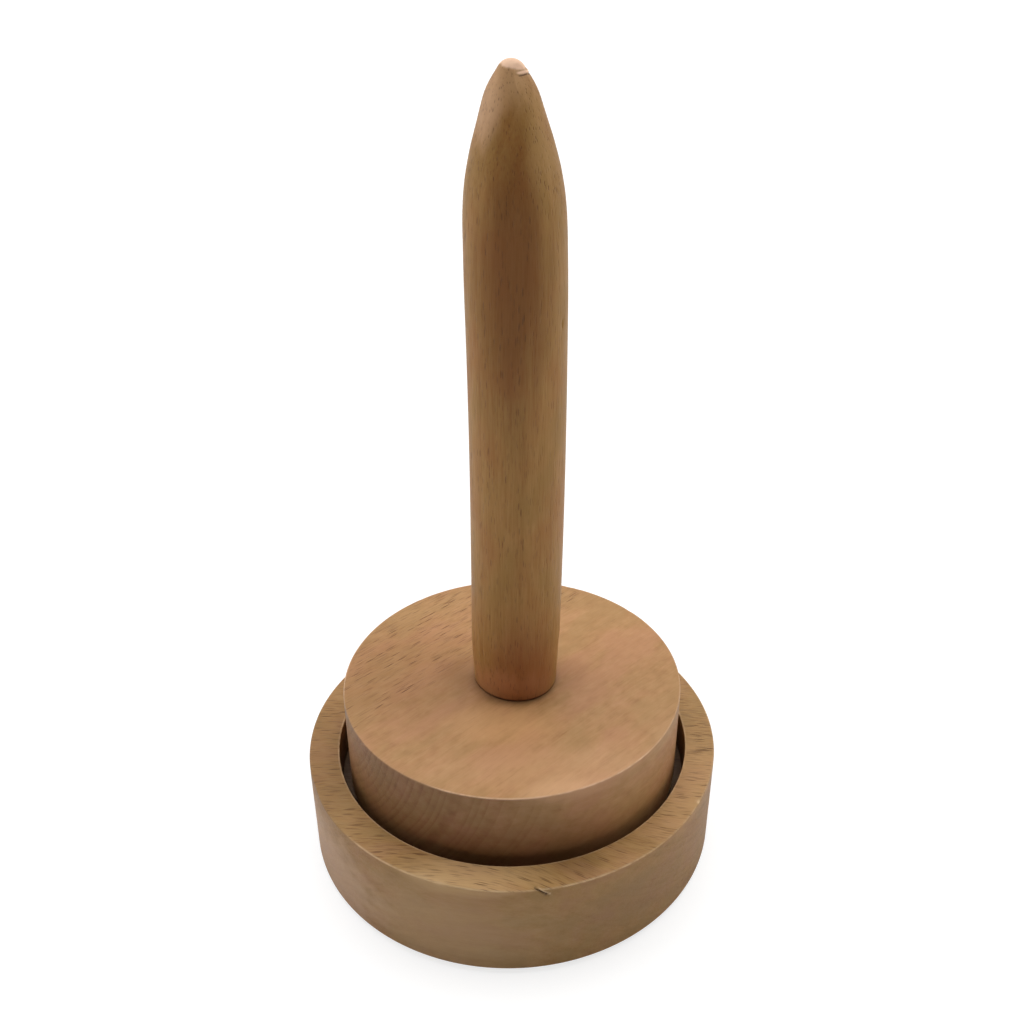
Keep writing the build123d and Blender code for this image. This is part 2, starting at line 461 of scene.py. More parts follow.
class Board:
    """A node tree with short calls, in which each call adds one node and gives its output."""

    def __init__(self, tree: bpy.types.NodeTree) -> None:
        """Take hold of a node tree."""
        self.tree = tree

    def node(self, kind: str, feeds: Feeds | None = None, **settings: object) -> bpy.types.Node:
        """Add a node.

        Args:
            kind: The node's type.
            feeds: What goes into its inputs, by name or number: a socket or a plain value.
            **settings: Properties to set on the node.

        Returns:
            The new node.
        """
        added = self.tree.nodes.new(kind)
        for name, value in settings.items():
            setattr(added, name, value)
        self.feed(added, feeds or {})
        return added

    def feed(self, node: bpy.types.Node, feeds: Feeds) -> None:
        """Put sockets or plain values into a node's inputs.

        Args:
            node: The node.
            feeds: What goes in, by the input's name or number.
        """
        for name, value in feeds.items():
            if isinstance(value, Socket):
                self.tree.links.new(value, node.inputs[name])
            else:
                node.inputs[name].default_value = value

    def math(self, operation: str, *values: Value) -> Socket:
        """Add a Math node."""
        return self.node("ShaderNodeMath", dict(enumerate(values)), operation=operation).outputs[0]

    def total(self, *values: Value) -> Socket:
        """Add several values up.

        Args:
            *values: The values.

        Returns:
            The sum.
        """
        result = values[0]
        for value in values[1:]:
            result = self.math("ADD", result, value)
        return result

    def product(self, *values: Value) -> Socket:
        """Multiply several values.

        Args:
            *values: The values.

        Returns:
            The product.
        """
        result = values[0]
        for value in values[1:]:
            result = self.math("MULTIPLY", result, value)
        return result

    def swing(self, value: Socket, amount: float) -> Socket:
        """Turn a value from 0 to 1 into a swing of the given size about nothing."""
        return self.math("MULTIPLY_ADD", value, amount, -amount / 2)

    def vector(self, operation: str, feeds: Feeds, output: str = "Vector") -> Socket:
        """Add a Vector Math node."""
        return self.node("ShaderNodeVectorMath", feeds, operation=operation).outputs[output]

    def dot(self, vector: Socket, axis: Sequence[float]) -> Socket:
        """Measure a vector along an axis."""
        return self.vector("DOT_PRODUCT", {0: vector, 1: tuple(float(part) for part in axis)}, "Value")

    def scaled(self, vector: Socket, scale: float) -> Socket:
        """Scale a vector."""
        return self.vector("SCALE", {0: vector, "Scale": scale})

    def join(self, x: Value, y: Value, z: Value) -> Socket:
        """Join three values to a vector."""
        return self.node("ShaderNodeCombineXYZ", {0: x, 1: y, 2: z}).outputs[0]

    def step(self, value: Value, start: float, end: float, to: Pair = (0.0, 1.0)) -> Socket:
        """Rise smoothly from one value to another between start and end."""
        feeds = {"Value": value, "From Min": start, "From Max": end, "To Min": to[0], "To Max": to[1]}
        return self.node("ShaderNodeMapRange", feeds, interpolation_type="SMOOTHSTEP").outputs["Result"]

    def noise(self, vector: Socket, detail: float = 2.0, roughness: float = 0.5) -> bpy.types.Node:
        """Add smooth noise of a scaled place."""
        feeds = {"Vector": vector, "Scale": 1.0, "Detail": detail, "Roughness": roughness}
        return self.node("ShaderNodeTexNoise", feeds, noise_dimensions="3D")

    def line_noise(self, value: Socket, detail: float = 2.0) -> Socket:
        """Add smooth noise of one value."""
        feeds = {"W": value, "Scale": 1.0, "Detail": detail}
        return self.node("ShaderNodeTexNoise", feeds, noise_dimensions="1D").outputs["Fac"]

    def cells(self, vector: Socket, randomness: float = 1.0) -> bpy.types.Node:
        """Add scattered cells of a scaled place."""
        feeds = {"Vector": vector, "Scale": 1.0, "Randomness": randomness}
        return self.node("ShaderNodeTexVoronoi", feeds, voronoi_dimensions="3D", feature="F1")

    def mark(self, name: str) -> Socket:
        """Read one of the mesh's own marks."""
        added = self.node("ShaderNodeAttribute", attribute_name=name, attribute_type="GEOMETRY")
        return added.outputs["Fac"]

    def blend(self, share: Value, first: Shade, second: Shade, how: str = "MIX") -> Socket:
        """Mix two colours.

        Args:
            share: How much of the second colour comes in, from 0 to 1.
            first: The first colour.
            second: The second colour.
            how: The way of mixing.

        Returns:
            The mixed colour.
        """
        added = self.node("ShaderNodeMix", {"Factor": share}, data_type="RGBA", blend_type=how)
        for number, colour in ((6, first), (7, second)):
            linked = isinstance(colour, Socket)
            self.feed(added, {number: colour if linked else (*colour, 1.0)})
        return added.outputs[2]

    def ramp(self, value: Socket, stops: Sequence[tuple[float, Colour]]) -> Socket:
        """Look a value up on a scale of colours.

        Args:
            value: The value.
            stops: Places on the scale, each with its colour.

        Returns:
            The colour.
        """
        added = self.node("ShaderNodeValToRGB", {"Fac": value})
        elements = added.color_ramp.elements
        while len(elements) < len(stops):
            elements.new(0.5)
        for element, (place, colour) in zip(elements, stops):
            element.position = place
            element.color = (*colour, 1.0)
        return added.outputs["Color"]

    def bump(self, height: Socket, distance: float, strength: float = 1.0) -> Socket:
        """Turn a height into a bumped normal."""
        feeds = {"Height": height, "Distance": distance, "Strength": strength}
        return self.node("ShaderNodeBump", feeds).outputs["Normal"]

    def seen(self) -> Socket:
        """One where the camera looks, straight on or through something, and nothing for all other light."""
        path = self.node("ShaderNodeLightPath").outputs
        return self.math("MAXIMUM", path["Is Camera Ray"], path["Is Transmission Ray"])


def new_material(name: str) -> tuple[bpy.types.Material, Board, bpy.types.Node]:
    """Start a material.

    Args:
        name: The material's name.

    Returns:
        The material, its board and its main shader.
    """
    material = bpy.data.materials.new(name)
    material.use_nodes = True
    return material, Board(material.node_tree), material.node_tree.nodes["Principled BSDF"]


def dress(piece: bpy.types.Object, material: bpy.types.Material) -> None:
    """Give a piece one material all over."""
    piece.data.materials.clear()
    piece.data.materials.append(material)


@dataclass(frozen=True)
class StainAndLightPatch:
    """A soft-edged patch of another screen colour, an ellipsoid placed in millimetres: some patches are
    stains in the wood and some are painted light and shade.
    """

    centre: Triple
    radii: Triple
    colour: Colour
    strength: float
    cover: float = 0.8
    border: Pair = (1.25, 0.35)
    raggedness: float = 0.7

    def mask(self, board: Board, place: Socket, ragged: Socket) -> Socket:
        """Strength at each point, by the place's distance from the centre in radii.

        Args:
            board: The board to add to.
            place: The place in the piece.
            ragged: Noise that makes the border uneven.

        Returns:
            The mask, from 0 to the patch's strength.
        """
        centre, radii = (tuple(part * MM for part in size) for size in (self.centre, self.radii))
        moved = board.vector("SUBTRACT", {0: place, 1: centre})
        scaled = board.vector("DIVIDE", {0: moved, 1: radii})
        far = board.vector("LENGTH", {0: scaled}, "Value")
        uneven = board.total(far, board.swing(ragged, self.raggedness))
        return board.step(uneven, *self.border, (0.0, self.strength))


@dataclass(frozen=True)
class Grain:
    """A place in the wood, in millimetres across the fibres both ways and along them."""

    board: Board
    wide: Socket
    deep: Value
    along: Socket

    def at(self, fine: float, slow: float) -> Socket:
        """Scale the place, with one rate across the fibres and a slower one along them."""
        sides = ((self.wide, fine), (self.deep, fine), (self.along, slow))
        return self.board.join(*(self.board.product(side, rate) for side, rate in sides))

    def noise(self, fine: float, slow: float, detail: float = 2.0, roughness: float = 0.5) -> Socket:
        """Add noise that is drawn out along the fibres."""
        return self.board.noise(self.at(fine, slow), detail, roughness).outputs["Fac"]


@dataclass(frozen=True)
class Beech:
    """Satin-varnished beech, laid out in three dimensions so that the grain runs on from face to face.

    Growth rings are round a heart that stands beside the piece, and the fibres run along one axis.
    Lengths in the pattern are in millimetres. Rates come in pairs, across the fibres and along them.
    """

    name: str
    fibre: Triple
    across: Triple
    heart: Pair
    light: Colour
    middle: Colour
    dark: Colour
    blush: Colour
    olive: Colour
    fleck: Colour
    raw: Colour
    ring_width: float = 2.4
    ring_strength: Pair = (0.08, 0.4)
    fleck_size: Triple = (0.8, 0.8, 4.6)
    fleck_share: float = 0.8
    fleck_band: Triple = (-200.0, -190.0, 1.0)
    fleck_strength: float = 0.8
    hairline: float = 0.0
    aside: Pair = (0.0, 0.4)
    streak: Triple = (2.3, 0.3, 0.4)
    mottle: Triple = (0.5, 0.17, 0.6)
    sweep: Triple = (0.0, 0.0, 1.0)
    end_shade: float = 0.84
    edge_wear_and_highlight: float = 0.75
    turned_depth: float = 0.5
    roughness: Pair = (0.44, 0.58)
    raw_roughness: float = 0.25
    specular: float = 0.3
    drift: float = 5.0
    drift_rates: Pair = (0.022, 0.007)
    band_rates: Pair = (0.30, 0.02)
    band_swing: float = 0.3
    tint_rates: Pair = (0.10, 0.05)
    hair_rates: Pair = (2.6, 0.16)
    blush_share: tuple[float, float, Pair] = (0.46, 0.68, (0.0, 0.5))
    olive_share: tuple[float, float, Pair] = (0.54, 0.32, (0.0, 0.45))
    base_depth: float = 0.42
    turning_up: Pair = (0.2, 0.8)
    end_tint: Colour = (1.0, 0.93, 0.9)
    dirt_and_shade: Colour = painted(50, 22, 12)
    turning_rate: float = 2.6
    fleck_depth: float = -2.2
    relief: float = 0.05 * MM
    stains_and_light_patches: tuple[StainAndLightPatch, ...] = ()

    def material(self) -> bpy.types.Material:
        """Build the wood.

        Returns:
            The material.
        """
        material, board, shader = new_material(self.name)
        texture = board.node("ShaderNodeTexCoord").outputs
        place, facing = texture["Object"], texture["Normal"]
        fibre, across = np.array(self.fibre), np.array(self.across)
        grain = self._grain(board, place, fibre, across)
        end = board.math("POWER", board.math("ABSOLUTE", board.dot(facing, fibre)), 2.0)
        flat = board.math("ABSOLUTE", board.dot(facing, (0.0, 0.0, 1.0)))
        late = self._rings(grain)
        streak = grain.noise(*self.streak[:2], 3.0, 0.6)
        band = grain.noise(*self.band_rates)
        mottle = grain.noise(*self.mottle[:2], 2.0, 0.55)
        flecked, streaked = (board.step(flat, *self.turning_up, (least, 1.0)) for least in self.aside)
        mask = board.product(self._flecks(grain, late), flecked)
        stroke = board.product(board.swing(streak, self.streak[2]), streaked)
        low_ring, high_ring = self.ring_strength
        ring = board.product(late, board.math("MULTIPLY_ADD", end, high_ring - low_ring, low_ring))
        slow = board.swing(band, self.band_swing), board.swing(mottle, self.mottle[2])
        depth = board.total(self.base_depth, ring, stroke, *slow)
        colour = board.ramp(depth, ((0.0, self.light), (0.5, self.middle), (1.0, self.dark)))
        tint = grain.noise(*self.tint_rates, 2.0, 0.6)
        colour = board.blend(board.step(tint, *self.blush_share), colour, self.blush)
        colour = board.blend(board.step(tint, *self.olive_share), colour, self.olive)
        for patch in self.stains_and_light_patches:
            patched = board.blend(patch.cover, colour, painted(*patch.colour))
            colour = board.blend(patch.mask(board, place, band), colour, patched)
        shade = tuple(self.end_shade * part for part in self.end_tint)
        colour = board.blend(end, colour, board.blend(1.0, colour, shade, "MULTIPLY"))
        colour = board.blend(board.product(mask, self.fleck_strength), colour, self.fleck)
        # Worn edges are bared pale, together with a painted highlight along them. Raw wood from tears and
        # nicks is pale as well.
        worn = board.product(board.mark("edge"), board.step(mottle, 0.3, 0.6, (0.35, 1.0)), self.edge_wear_and_highlight)
        raw = board.mark("raw")
        colour = board.blend(board.math("MAXIMUM", worn, raw), colour, self.raw)
        # Dirt and painted shade from the pieces' dark mark: in the bowl's pocket and the rim's gouge, round
        # the spindle's foot, along its contact line and in its crack.
        colour = board.blend(board.mark("dirt_and_shade"), colour, self.dirt_and_shade)
        rough = board.step(streak, 0.3, 0.75, self.roughness)
        rough = board.total(rough, board.product(raw, self.raw_roughness))
        turned = board.line_noise(board.product(board.mark("turning"), self.turning_rate), 3.0)
        heights = ((mask, self.fleck_depth), (streak, 0.5), (late, -0.15), (turned, self.turned_depth))
        relief = board.total(*(board.product(part, height) for part, height in heights))
        normal = board.bump(relief, self.relief)
        board.feed(shader, {"Base Color": colour, "Roughness": rough, "Normal": normal})
        board.feed(shader, {"Specular IOR Level": self.specular})
        return material

    def _grain(self, board: Board, place: Socket, fibre: np.ndarray, across: np.ndarray) -> Grain:
        """Lay the fibres: a place measured along three axes, swept in a bend and moved about by slow noise.

        Args:
            board: The board to add to.
            place: The place in the piece.
            fibre: The direction of the fibres.
            across: The direction across them.

        Returns:
            The place in the wood.
        """
        axes = (fibre, across, np.cross(fibre, across))
        along, wide, deep = (board.dot(place, axis / MM) for axis in axes)
        amount, centre, width = self.sweep
        bent = board.math("TANH", board.product(board.total(along, -centre), 1 / width))
        wide = board.math("MULTIPLY_ADD", bent, amount, wide)
        drift = board.noise(Grain(board, wide, deep, along).at(*self.drift_rates), 1.0).outputs["Color"]
        parts = board.node("ShaderNodeSeparateColor", {"Color": drift}).outputs
        moves = [board.swing(parts[number], self.drift) for number in range(2)]
        return Grain(board, board.total(wide, moves[0]), board.total(deep, moves[1]), along)

    def _rings(self, grain: Grain) -> Socket:
        """Growth rings: the distance from the heart in ring widths, darkening slowly up to a thin line.

        Args:
            grain: The place in the wood.

        Returns:
            The darkness of the ring, from 0 to 1.
        """
        board = grain.board
        sides = ((grain.wide, self.heart[0]), (grain.deep, self.heart[1]))
        squares = (board.math("POWER", board.total(side, -heart), 2.0) for side, heart in sides)
        radius = board.math("SQRT", board.total(*squares))
        uneven = board.product(board.line_noise(board.product(radius, 0.45 / self.ring_width), 1.0), 1.6)
        phase = board.math("FRACT", board.total(board.product(radius, 1 / self.ring_width), uneven))
        return board.product(board.step(phase, 0.25, 0.9), board.step(phase, 1.0, 0.92))

    def _flecks(self, grain: Grain, late: Socket) -> Socket:
        """Ray flecks: slim cells along the fibres, some left out, with hairlines, gathered in one band.

        Args:
            grain: The place in the wood.
            late: The darkness of the growth ring.

        Returns:
            The strength of the flecks, from 0 to 1.
        """
        board = grain.board
        sides = (grain.wide, grain.deep, grain.along)
        place = board.join(*(board.product(side, 1 / size) for side, size in zip(sides, self.fleck_size)))
        cells = board.cells(place)
        chance = board.node("ShaderNodeSeparateColor", {"Color": cells.outputs["Color"]}).outputs
        spot = board.step(cells.outputs["Distance"], 0.38, 0.18)
        taken = board.step(chance[0], 1 - self.fleck_share, 1.1 - self.fleck_share)
        tone = board.math("MULTIPLY_ADD", chance[1], 0.75, 0.25)
        row = board.step(late, 0.0, 0.8, (0.6, 1.0))
        hair = Grain(board, grain.wide, 0.0, grain.along).noise(*self.hair_rates, 1.0)
        hair = board.step(hair, 0.52, 0.7, (0.0, self.hairline))
        start, end, rest = self.fleck_band
        spot = board.math("MAXIMUM", board.product(spot, taken, tone, row), hair)
        return board.product(spot, board.step(grain.wide, start, end, (1.0, rest)))


class Machining(Enum):
    """How a metal surface was finished: the rate of its tool marks and their depth."""

    TURNED = (14.0, 0.012 * MM)
    POLISHED = (5.0, 0.002 * MM)
    PRESSED = (3.0, 0.008 * MM)


@dataclass(frozen=True)
class Metal:
    """Bare or plated metal with tool marks, a faint mottled bloom and brighter edges."""

    name: str
    colour: Colour
    bloom: Colour
    machining: Machining
    roughness: Pair
    bright: Colour = (0.92, 0.91, 0.88)

    def material(self) -> bpy.types.Material:
        """Build the metal.

        Returns:
            The material.
        """
        material, board, shader = new_material(self.name)
        place = board.node("ShaderNodeTexCoord").outputs["Object"]
        rate, depth = self.machining.value
        spread = board.scaled(place, 1 / MM)
        bloom, grain = (board.noise(board.scaled(spread, scale)).outputs["Fac"] for scale in (0.6, 9.0))
        lines = board.line_noise(board.product(board.mark("turning"), rate), 2.0)
        colour = board.blend(board.step(bloom, 0.4, 0.7), self.colour, self.bloom)
        colour = board.blend(board.product(board.mark("edge"), 0.35), colour, self.bright)
        wear = board.total(board.product(lines, 0.6), board.product(grain, 0.4))
        rough = board.step(wear, 0.3, 0.7, self.roughness)
        normal = board.bump(wear, depth)
        board.feed(shader, {"Base Color": colour, "Roughness": rough, "Normal": normal, "Metallic": 1.0})
        return material


@dataclass(frozen=True)
class Moulded:
    """Rubber or nylon out of a mould: a fine stippled skin, dusty hollows and scuffed edges."""

    name: str
    colour: Colour
    dust: Colour
    scuff: Colour
    roughness: Pair
    stipple: float
    clouds: float = 0.45
    depth: float = 0.03 * MM

    def material(self) -> bpy.types.Material:
        """Build the moulded skin.

        Returns:
            The material.
        """
        material, board, shader = new_material(self.name)
        place = board.node("ShaderNodeTexCoord").outputs["Object"]
        cells = board.cells(board.scaled(place, self.stipple / MM), 0.9)
        cloud = board.noise(board.scaled(place, self.clouds / MM), 4.0, 0.6).outputs["Fac"]
        colour = board.blend(board.step(cloud, 0.42, 0.72, (0.0, 0.6)), self.colour, self.dust)
        colour = board.blend(board.product(board.mark("edge"), 0.3), colour, self.scuff)
        rough = board.step(cloud, 0.3, 0.7, self.roughness)
        relief = board.math("SUBTRACT", 1.0, cells.outputs["Distance"])
        normal = board.bump(relief, self.depth)
        board.feed(shader, {"Base Color": colour, "Roughness": rough, "Normal": normal})
        return material


TURNTABLE_GRAIN = radians(43)
BOWL_BEECH = Beech(
    name="bowl_beech",
    fibre=(1.0, 0.0, 0.0),
    across=(0.0, 1.0, 0.0),
    heart=(12.0, 95.0),
    light=painted(184, 146, 93),
    middle=painted(166, 126, 75),
    dark=painted(132, 92, 52),
    blush=painted(168, 124, 86),
    olive=painted(156, 124, 74),
    fleck=painted(96, 62, 32),
    raw=painted(216, 184, 142),
    ring_width=3.1,
    ring_strength=(0.06, 0.2),
    fleck_size=(0.46, 40.0, 6.2),
    fleck_share=0.9,
    hairline=0.3,
    streak=(2.2, 0.3, 0.9),
    mottle=(0.5, 0.16, 0.5),
    sweep=(15.0, 15.0, 25.0),
    edge_wear_and_highlight=0.9,
    stains_and_light_patches=(
        # Painted sheen: a pale pinkish patch on the bowl's left side, as the bright surroundings reflect in
        # it.
        StainAndLightPatch((-52, -30, 12), (20, 36, 17), (210, 178, 150), 0.65),
        StainAndLightPatch((-55, -8, 33), (10, 32, 4), (124, 84, 36), 0.5),
        # Lighter patch on the rim's front: painted light where the rim front is lit more than the sky here
        # lights it, with lighter wood.
        StainAndLightPatch((-12, -54, 33), (20, 9, 4), (214, 176, 126), 0.65),
        StainAndLightPatch((17, -51, 33), (8, 6, 4), (100, 72, 32), 0.45),
        StainAndLightPatch((48, -22, 33), (22, 24, 4), (204, 160, 108), 0.5),
        StainAndLightPatch((-22, -56, 13), (34, 14, 20), (198, 164, 126), 0.5),
        StainAndLightPatch((32, -50, 18), (26, 18, 10), (134, 104, 80), 0.3),
    ),
)
TURNTABLE_BEECH = Beech(
    name="turntable_beech",
    fibre=(cos(TURNTABLE_GRAIN), sin(TURNTABLE_GRAIN), 0.0),
    across=(sin(TURNTABLE_GRAIN), -cos(TURNTABLE_GRAIN), 0.0),
    heart=(-46.0, -69.0),
    light=painted(195, 151, 104),
    middle=painted(175, 130, 83),
    dark=painted(142, 97, 55),
    blush=painted(186, 133, 96),
    olive=painted(166, 130, 80),
    fleck=painted(100, 60, 28),
    raw=painted(232, 192, 156),
    ring_width=2.3,
    ring_strength=(0.05, 0.28),
    fleck_size=(0.6, 40.0, 6.4),
    fleck_share=0.8,
    fleck_strength=0.95,
    hairline=0.3,
    fleck_band=(-18.0, -11.0, 0.12),
    streak=(1.9, 0.22, 0.4),
    mottle=(0.36, 0.25, 0.8),
    end_shade=0.58,
    edge_wear_and_highlight=0.95,
    stains_and_light_patches=(
        # Darker patch on the disc's top left: a blotch in the wood, and painted shadow left of the spindle.
        StainAndLightPatch((-30, 2, 55), (28, 26, 30), (148, 102, 56), 0.55),
        # Painted shade: darker patches on the disc's top at the left and the right of the spindle's foot.
        StainAndLightPatch((-14, 2, 55), (10, 9, 5), (134, 88, 48), 0.45),
        StainAndLightPatch((15, 1, 55), (8, 8, 5), (140, 94, 54), 0.4),
        # Darker reddish patch low on the disc's front side: reddish wood, and painted shade down by the gap.
        StainAndLightPatch((4, -48, 34), (34, 14, 13), (118, 62, 36), 0.42),
        StainAndLightPatch((14, -39, 56), (42, 12, 6), (208, 160, 120), 0.45),
        # Painted light: a lighter patch on the disc's top in front of the spindle's foot.
        StainAndLightPatch((-3, -20, 56), (17, 9, 5), (216, 164, 114), 0.6),
        StainAndLightPatch((14, -47, 55), (15, 6, 4), (218, 170, 128), 0.5),
        StainAndLightPatch((47, -27, 55), (12, 12, 6), (212, 164, 124), 0.4),
    ),
)
SPINDLE_BEECH = Beech(
    name="spindle_beech",
    fibre=(0.0, 0.0, 1.0),
    across=(1.0, 0.0, 0.0),
    heart=(-26.0, 30.0),
    light=painted(188, 145, 87),
    middle=painted(166, 122, 67),
    dark=painted(126, 80, 30),
    blush=painted(164, 110, 58),
    olive=painted(154, 118, 60),
    fleck=painted(88, 54, 26),
    raw=painted(255, 214, 182),
    ring_width=3.4,
    ring_strength=(0.08, 0.3),
    fleck_size=(0.46, 0.46, 3.8),
    fleck_strength=0.5,
    aside=(1.0, 1.0),
    streak=(2.8, 0.12, 0.75),
    mottle=(0.5, 0.05, 0.45),
    edge_wear_and_highlight=0.0,
    specular=0.22,
    stains_and_light_patches=(
        StainAndLightPatch((4, -12, 64), (13, 9, 22), (150, 84, 56), 0.52),
        # Painted light: the foot's lowest part is lightened in front, as by light bounced from the bright
        # disc.
        StainAndLightPatch((-3, -10, 57), (15, 9, 10), (206, 144, 102), 0.72),
        # Dark streaks down the spindle's front: a darker heart streak in the wood, and painted shade on the
        # side that faces the dark front of the studio.
        StainAndLightPatch((1, -12, 184), (7, 8, 50), (110, 57, 12), 0.72),
        StainAndLightPatch((0, -11, 177), (14, 11, 26), (120, 69, 20), 0.42),
        StainAndLightPatch((-5, -11, 160), (4, 6, 34), (122, 74, 26), 0.3),
        # Painted highlight: pale patches on the nose's upper left and tip, and a lighter one on its right.
        StainAndLightPatch((-6, -7, 222), (4.4, 9, 13), (232, 188, 152), 0.75),
        StainAndLightPatch((-1, -6, 225), (9, 9, 9), (222, 178, 134), 0.65),
        StainAndLightPatch((7, -8, 213), (4, 8, 16), (192, 152, 100), 0.45),
    ),
)
RUBBER = Moulded(
    name="pad_rubber",
    colour=painted(30, 30, 31),
    dust=painted(52, 50, 48),
    scuff=painted(84, 82, 80),
    roughness=(0.62, 0.86),
    stipple=6.0,
)
NYLON = Moulded(
    name="cage_nylon",
    colour=painted(222, 214, 192),
    dust=painted(204, 190, 160),
    scuff=painted(238, 232, 218),
    roughness=(0.38, 0.56),
    stipple=3.5,
)
ZINC = Metal("plated_steel", (0.68, 0.68, 0.66), (0.58, 0.60, 0.62), Machining.TURNED, (0.24, 0.42))
RING_STEEL = Metal("bearing_steel", (0.62, 0.62, 0.63), (0.52, 0.53, 0.56), Machining.TURNED, (0.12, 0.26))
BALL_STEEL = Metal("ball_steel", (0.75, 0.75, 0.76), (0.68, 0.69, 0.71), Machining.POLISHED, (0.03, 0.09))
SHIELD_STEEL = Metal("shield_steel", (0.66, 0.66, 0.66), (0.56, 0.57, 0.58), Machining.PRESSED, (0.22, 0.38))
BRASS = Metal("insert_brass", (0.72, 0.52, 0.24), (0.60, 0.42, 0.18), Machining.TURNED, (0.22, 0.40))


Finish = Beech | Metal | Moulded


def add_piece(
    name: str, surfaces: Sequence[Surface], body: str, finish: Finish, node: str, sharp: float = 40.0
) -> None:
    """Make a piece of turned grids, dress it, let it ride and let it stand for its CAD node.

    Args:
        name: The piece's name.
        surfaces: Its grids.
        body: The CAD body that it rides on.
        finish: Its finish.
        node: The CAD node that it replaces.
        sharp: The angle in degrees from which an edge stays sharp in smooth shading.
    """
    piece = build_mesh(name, surfaces, sharp)
    dress(piece, finish.material())
    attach(piece, body)
    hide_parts(node)
    log.info("%s: %d faces on %s", name, len(piece.data.polygons), body)


@dataclass(frozen=True)
class Bowl:
    """The round base: a turned bowl with a flat rim."""

    rim_width: float = 8.7 * MM
    seat_clearance: float = 0.02 * MM
    ledge: float = 2.0 * MM
    outer_ease: float = 0.55 * MM
    inner_ease: float = 0.3 * MM
    bottom_ease: float = 0.4 * MM
    bearing_sink: float = 0.2 * MM
    rim_waves: float = 0.05 * MM
    rim_wear: Pair = (0.03 * MM, 2.5 * MM)
    swell: float = 0.02 * MM
    close_columns: tuple[Triple, ...] = ((272.0, 282.0, 0.15), (328.5, 332.5, 0.25))
    # Painted shade in the pocket: its strength on the wall, on the floor, and the depths over which it fades
    # in.
    pocket_shade: float = 0.3
    pocket_floor_shade: float = 2.4
    pocket_shade_fade: Pair = (6.0 * MM, 1.0 * MM)
    floor_band: Pair = (0.5 * MM, 1.0 * MM)
    paint_spread: float = 1.3
    columns: int = 400
    dull_edge: float = 0.85
    dull_reach: float = 2.0 * MM
    dull_arcs: tuple[Arc, ...] = (Arc(120, 218), Arc(312, 360, 0.6))
    marks: tuple[Dent | Cut, ...] = (
        Cut((274.8, 1.0 * MM), (278.6, -2.3 * MM), 0.42 * MM, 0.2 * MM, -1.0),
        Cut((275.9, 0.7 * MM), (279.3, -2.1 * MM), -0.1 * MM, 0.2 * MM, 0.9),
        Dent(330.8, 0.1 * MM, 0.22 * MM, 0.7 * MM, 0.5 * MM, 1.0),
        Dent(246.0, 0.0, 0.2 * MM, 1.6 * MM, 0.8 * MM, 0.3),
        Dent(200.0, 0.0, 0.3 * MM, 4.5 * MM, 2.2 * MM),
        Dent(251.0, 0.1 * MM, -0.08 * MM, 2.0 * MM, 0.5 * MM, 0.6),
    )

    def build(self) -> None:
        """Turn the bowl, uneven by hundredths of a millimetre, with a gouge and nicks on its rim."""
        bottom, top, outside = span("bowl")
        pocket = outside - self.rim_width
        seat = reach("bearing_outer_ring") + self.seat_clearance
        well, floor = seat - self.ledge, high("bearing_outer_ring") + self.bearing_sink
        step = low("bearing_outer_ring")
        outline = trace(
            (
                Corner(well, bottom, self.inner_ease),
                Corner(outside, bottom, self.bottom_ease),
                Corner(outside, top, self.outer_ease),
                Corner(pocket, top, self.inner_ease),
                Corner(pocket, floor, self.inner_ease),
                Corner(seat, floor, self.inner_ease),
                Corner(seat, step),
                Corner(well, step),
            ),
            spacing=1.0 * MM,
        )
        surface = Surface(outline, ring_angles(self.columns, self.close_columns))
        rim = outline.corner_along(2)
        worn, reached = self.rim_wear
        uneven = slow_wave(surface.angles, seed=4, lobes=23, amount=self.rim_waves)
        depth = bell(surface.along - rim, reached) * (uneven + worn)
        torn, dirt_and_shade = np.zeros_like(depth), np.zeros_like(depth)
        for mark in self.marks:
            pressed = mark.depths(surface, rim)
            depth = depth + pressed
            share = np.clip(self.paint_spread * pressed / mark.depth, 0, 1) * mark.paint
            torn, dirt_and_shade = np.maximum(torn, share), np.maximum(dirt_and_shade, -share)
        surface.sink(np.maximum(depth, -self.swell))
        deepest, highest = self.pocket_shade_fade
        below, above = self.floor_band
        # Painted shade: the pocket's wall and floor below the rim are darkened, the floor most.
        in_pocket = (surface.radius < pocket + MARGIN) * fade(surface.height, top - deepest, top - highest)
        in_pocket = in_pocket * np.where(surface.height < floor + above, self.pocket_floor_shade, 1.0)
        in_pocket = in_pocket * (surface.height > floor - below)
        surface.marks["raw"], surface.marks["dirt_and_shade"] = torn, np.maximum(dirt_and_shade, self.pocket_shade * in_pocket)
        # The pale worn edge and its painted highlight are weakened along these arcs of the rim.
        dull = self.dull_edge * arc_shares(self.dull_arcs, surface.angles)
        surface.marks["edge"] *= 1 - dull * (surface.along < rim + self.dull_reach)
        add_piece("turned_bowl", [surface], "base", BOWL_BEECH, "bowl")


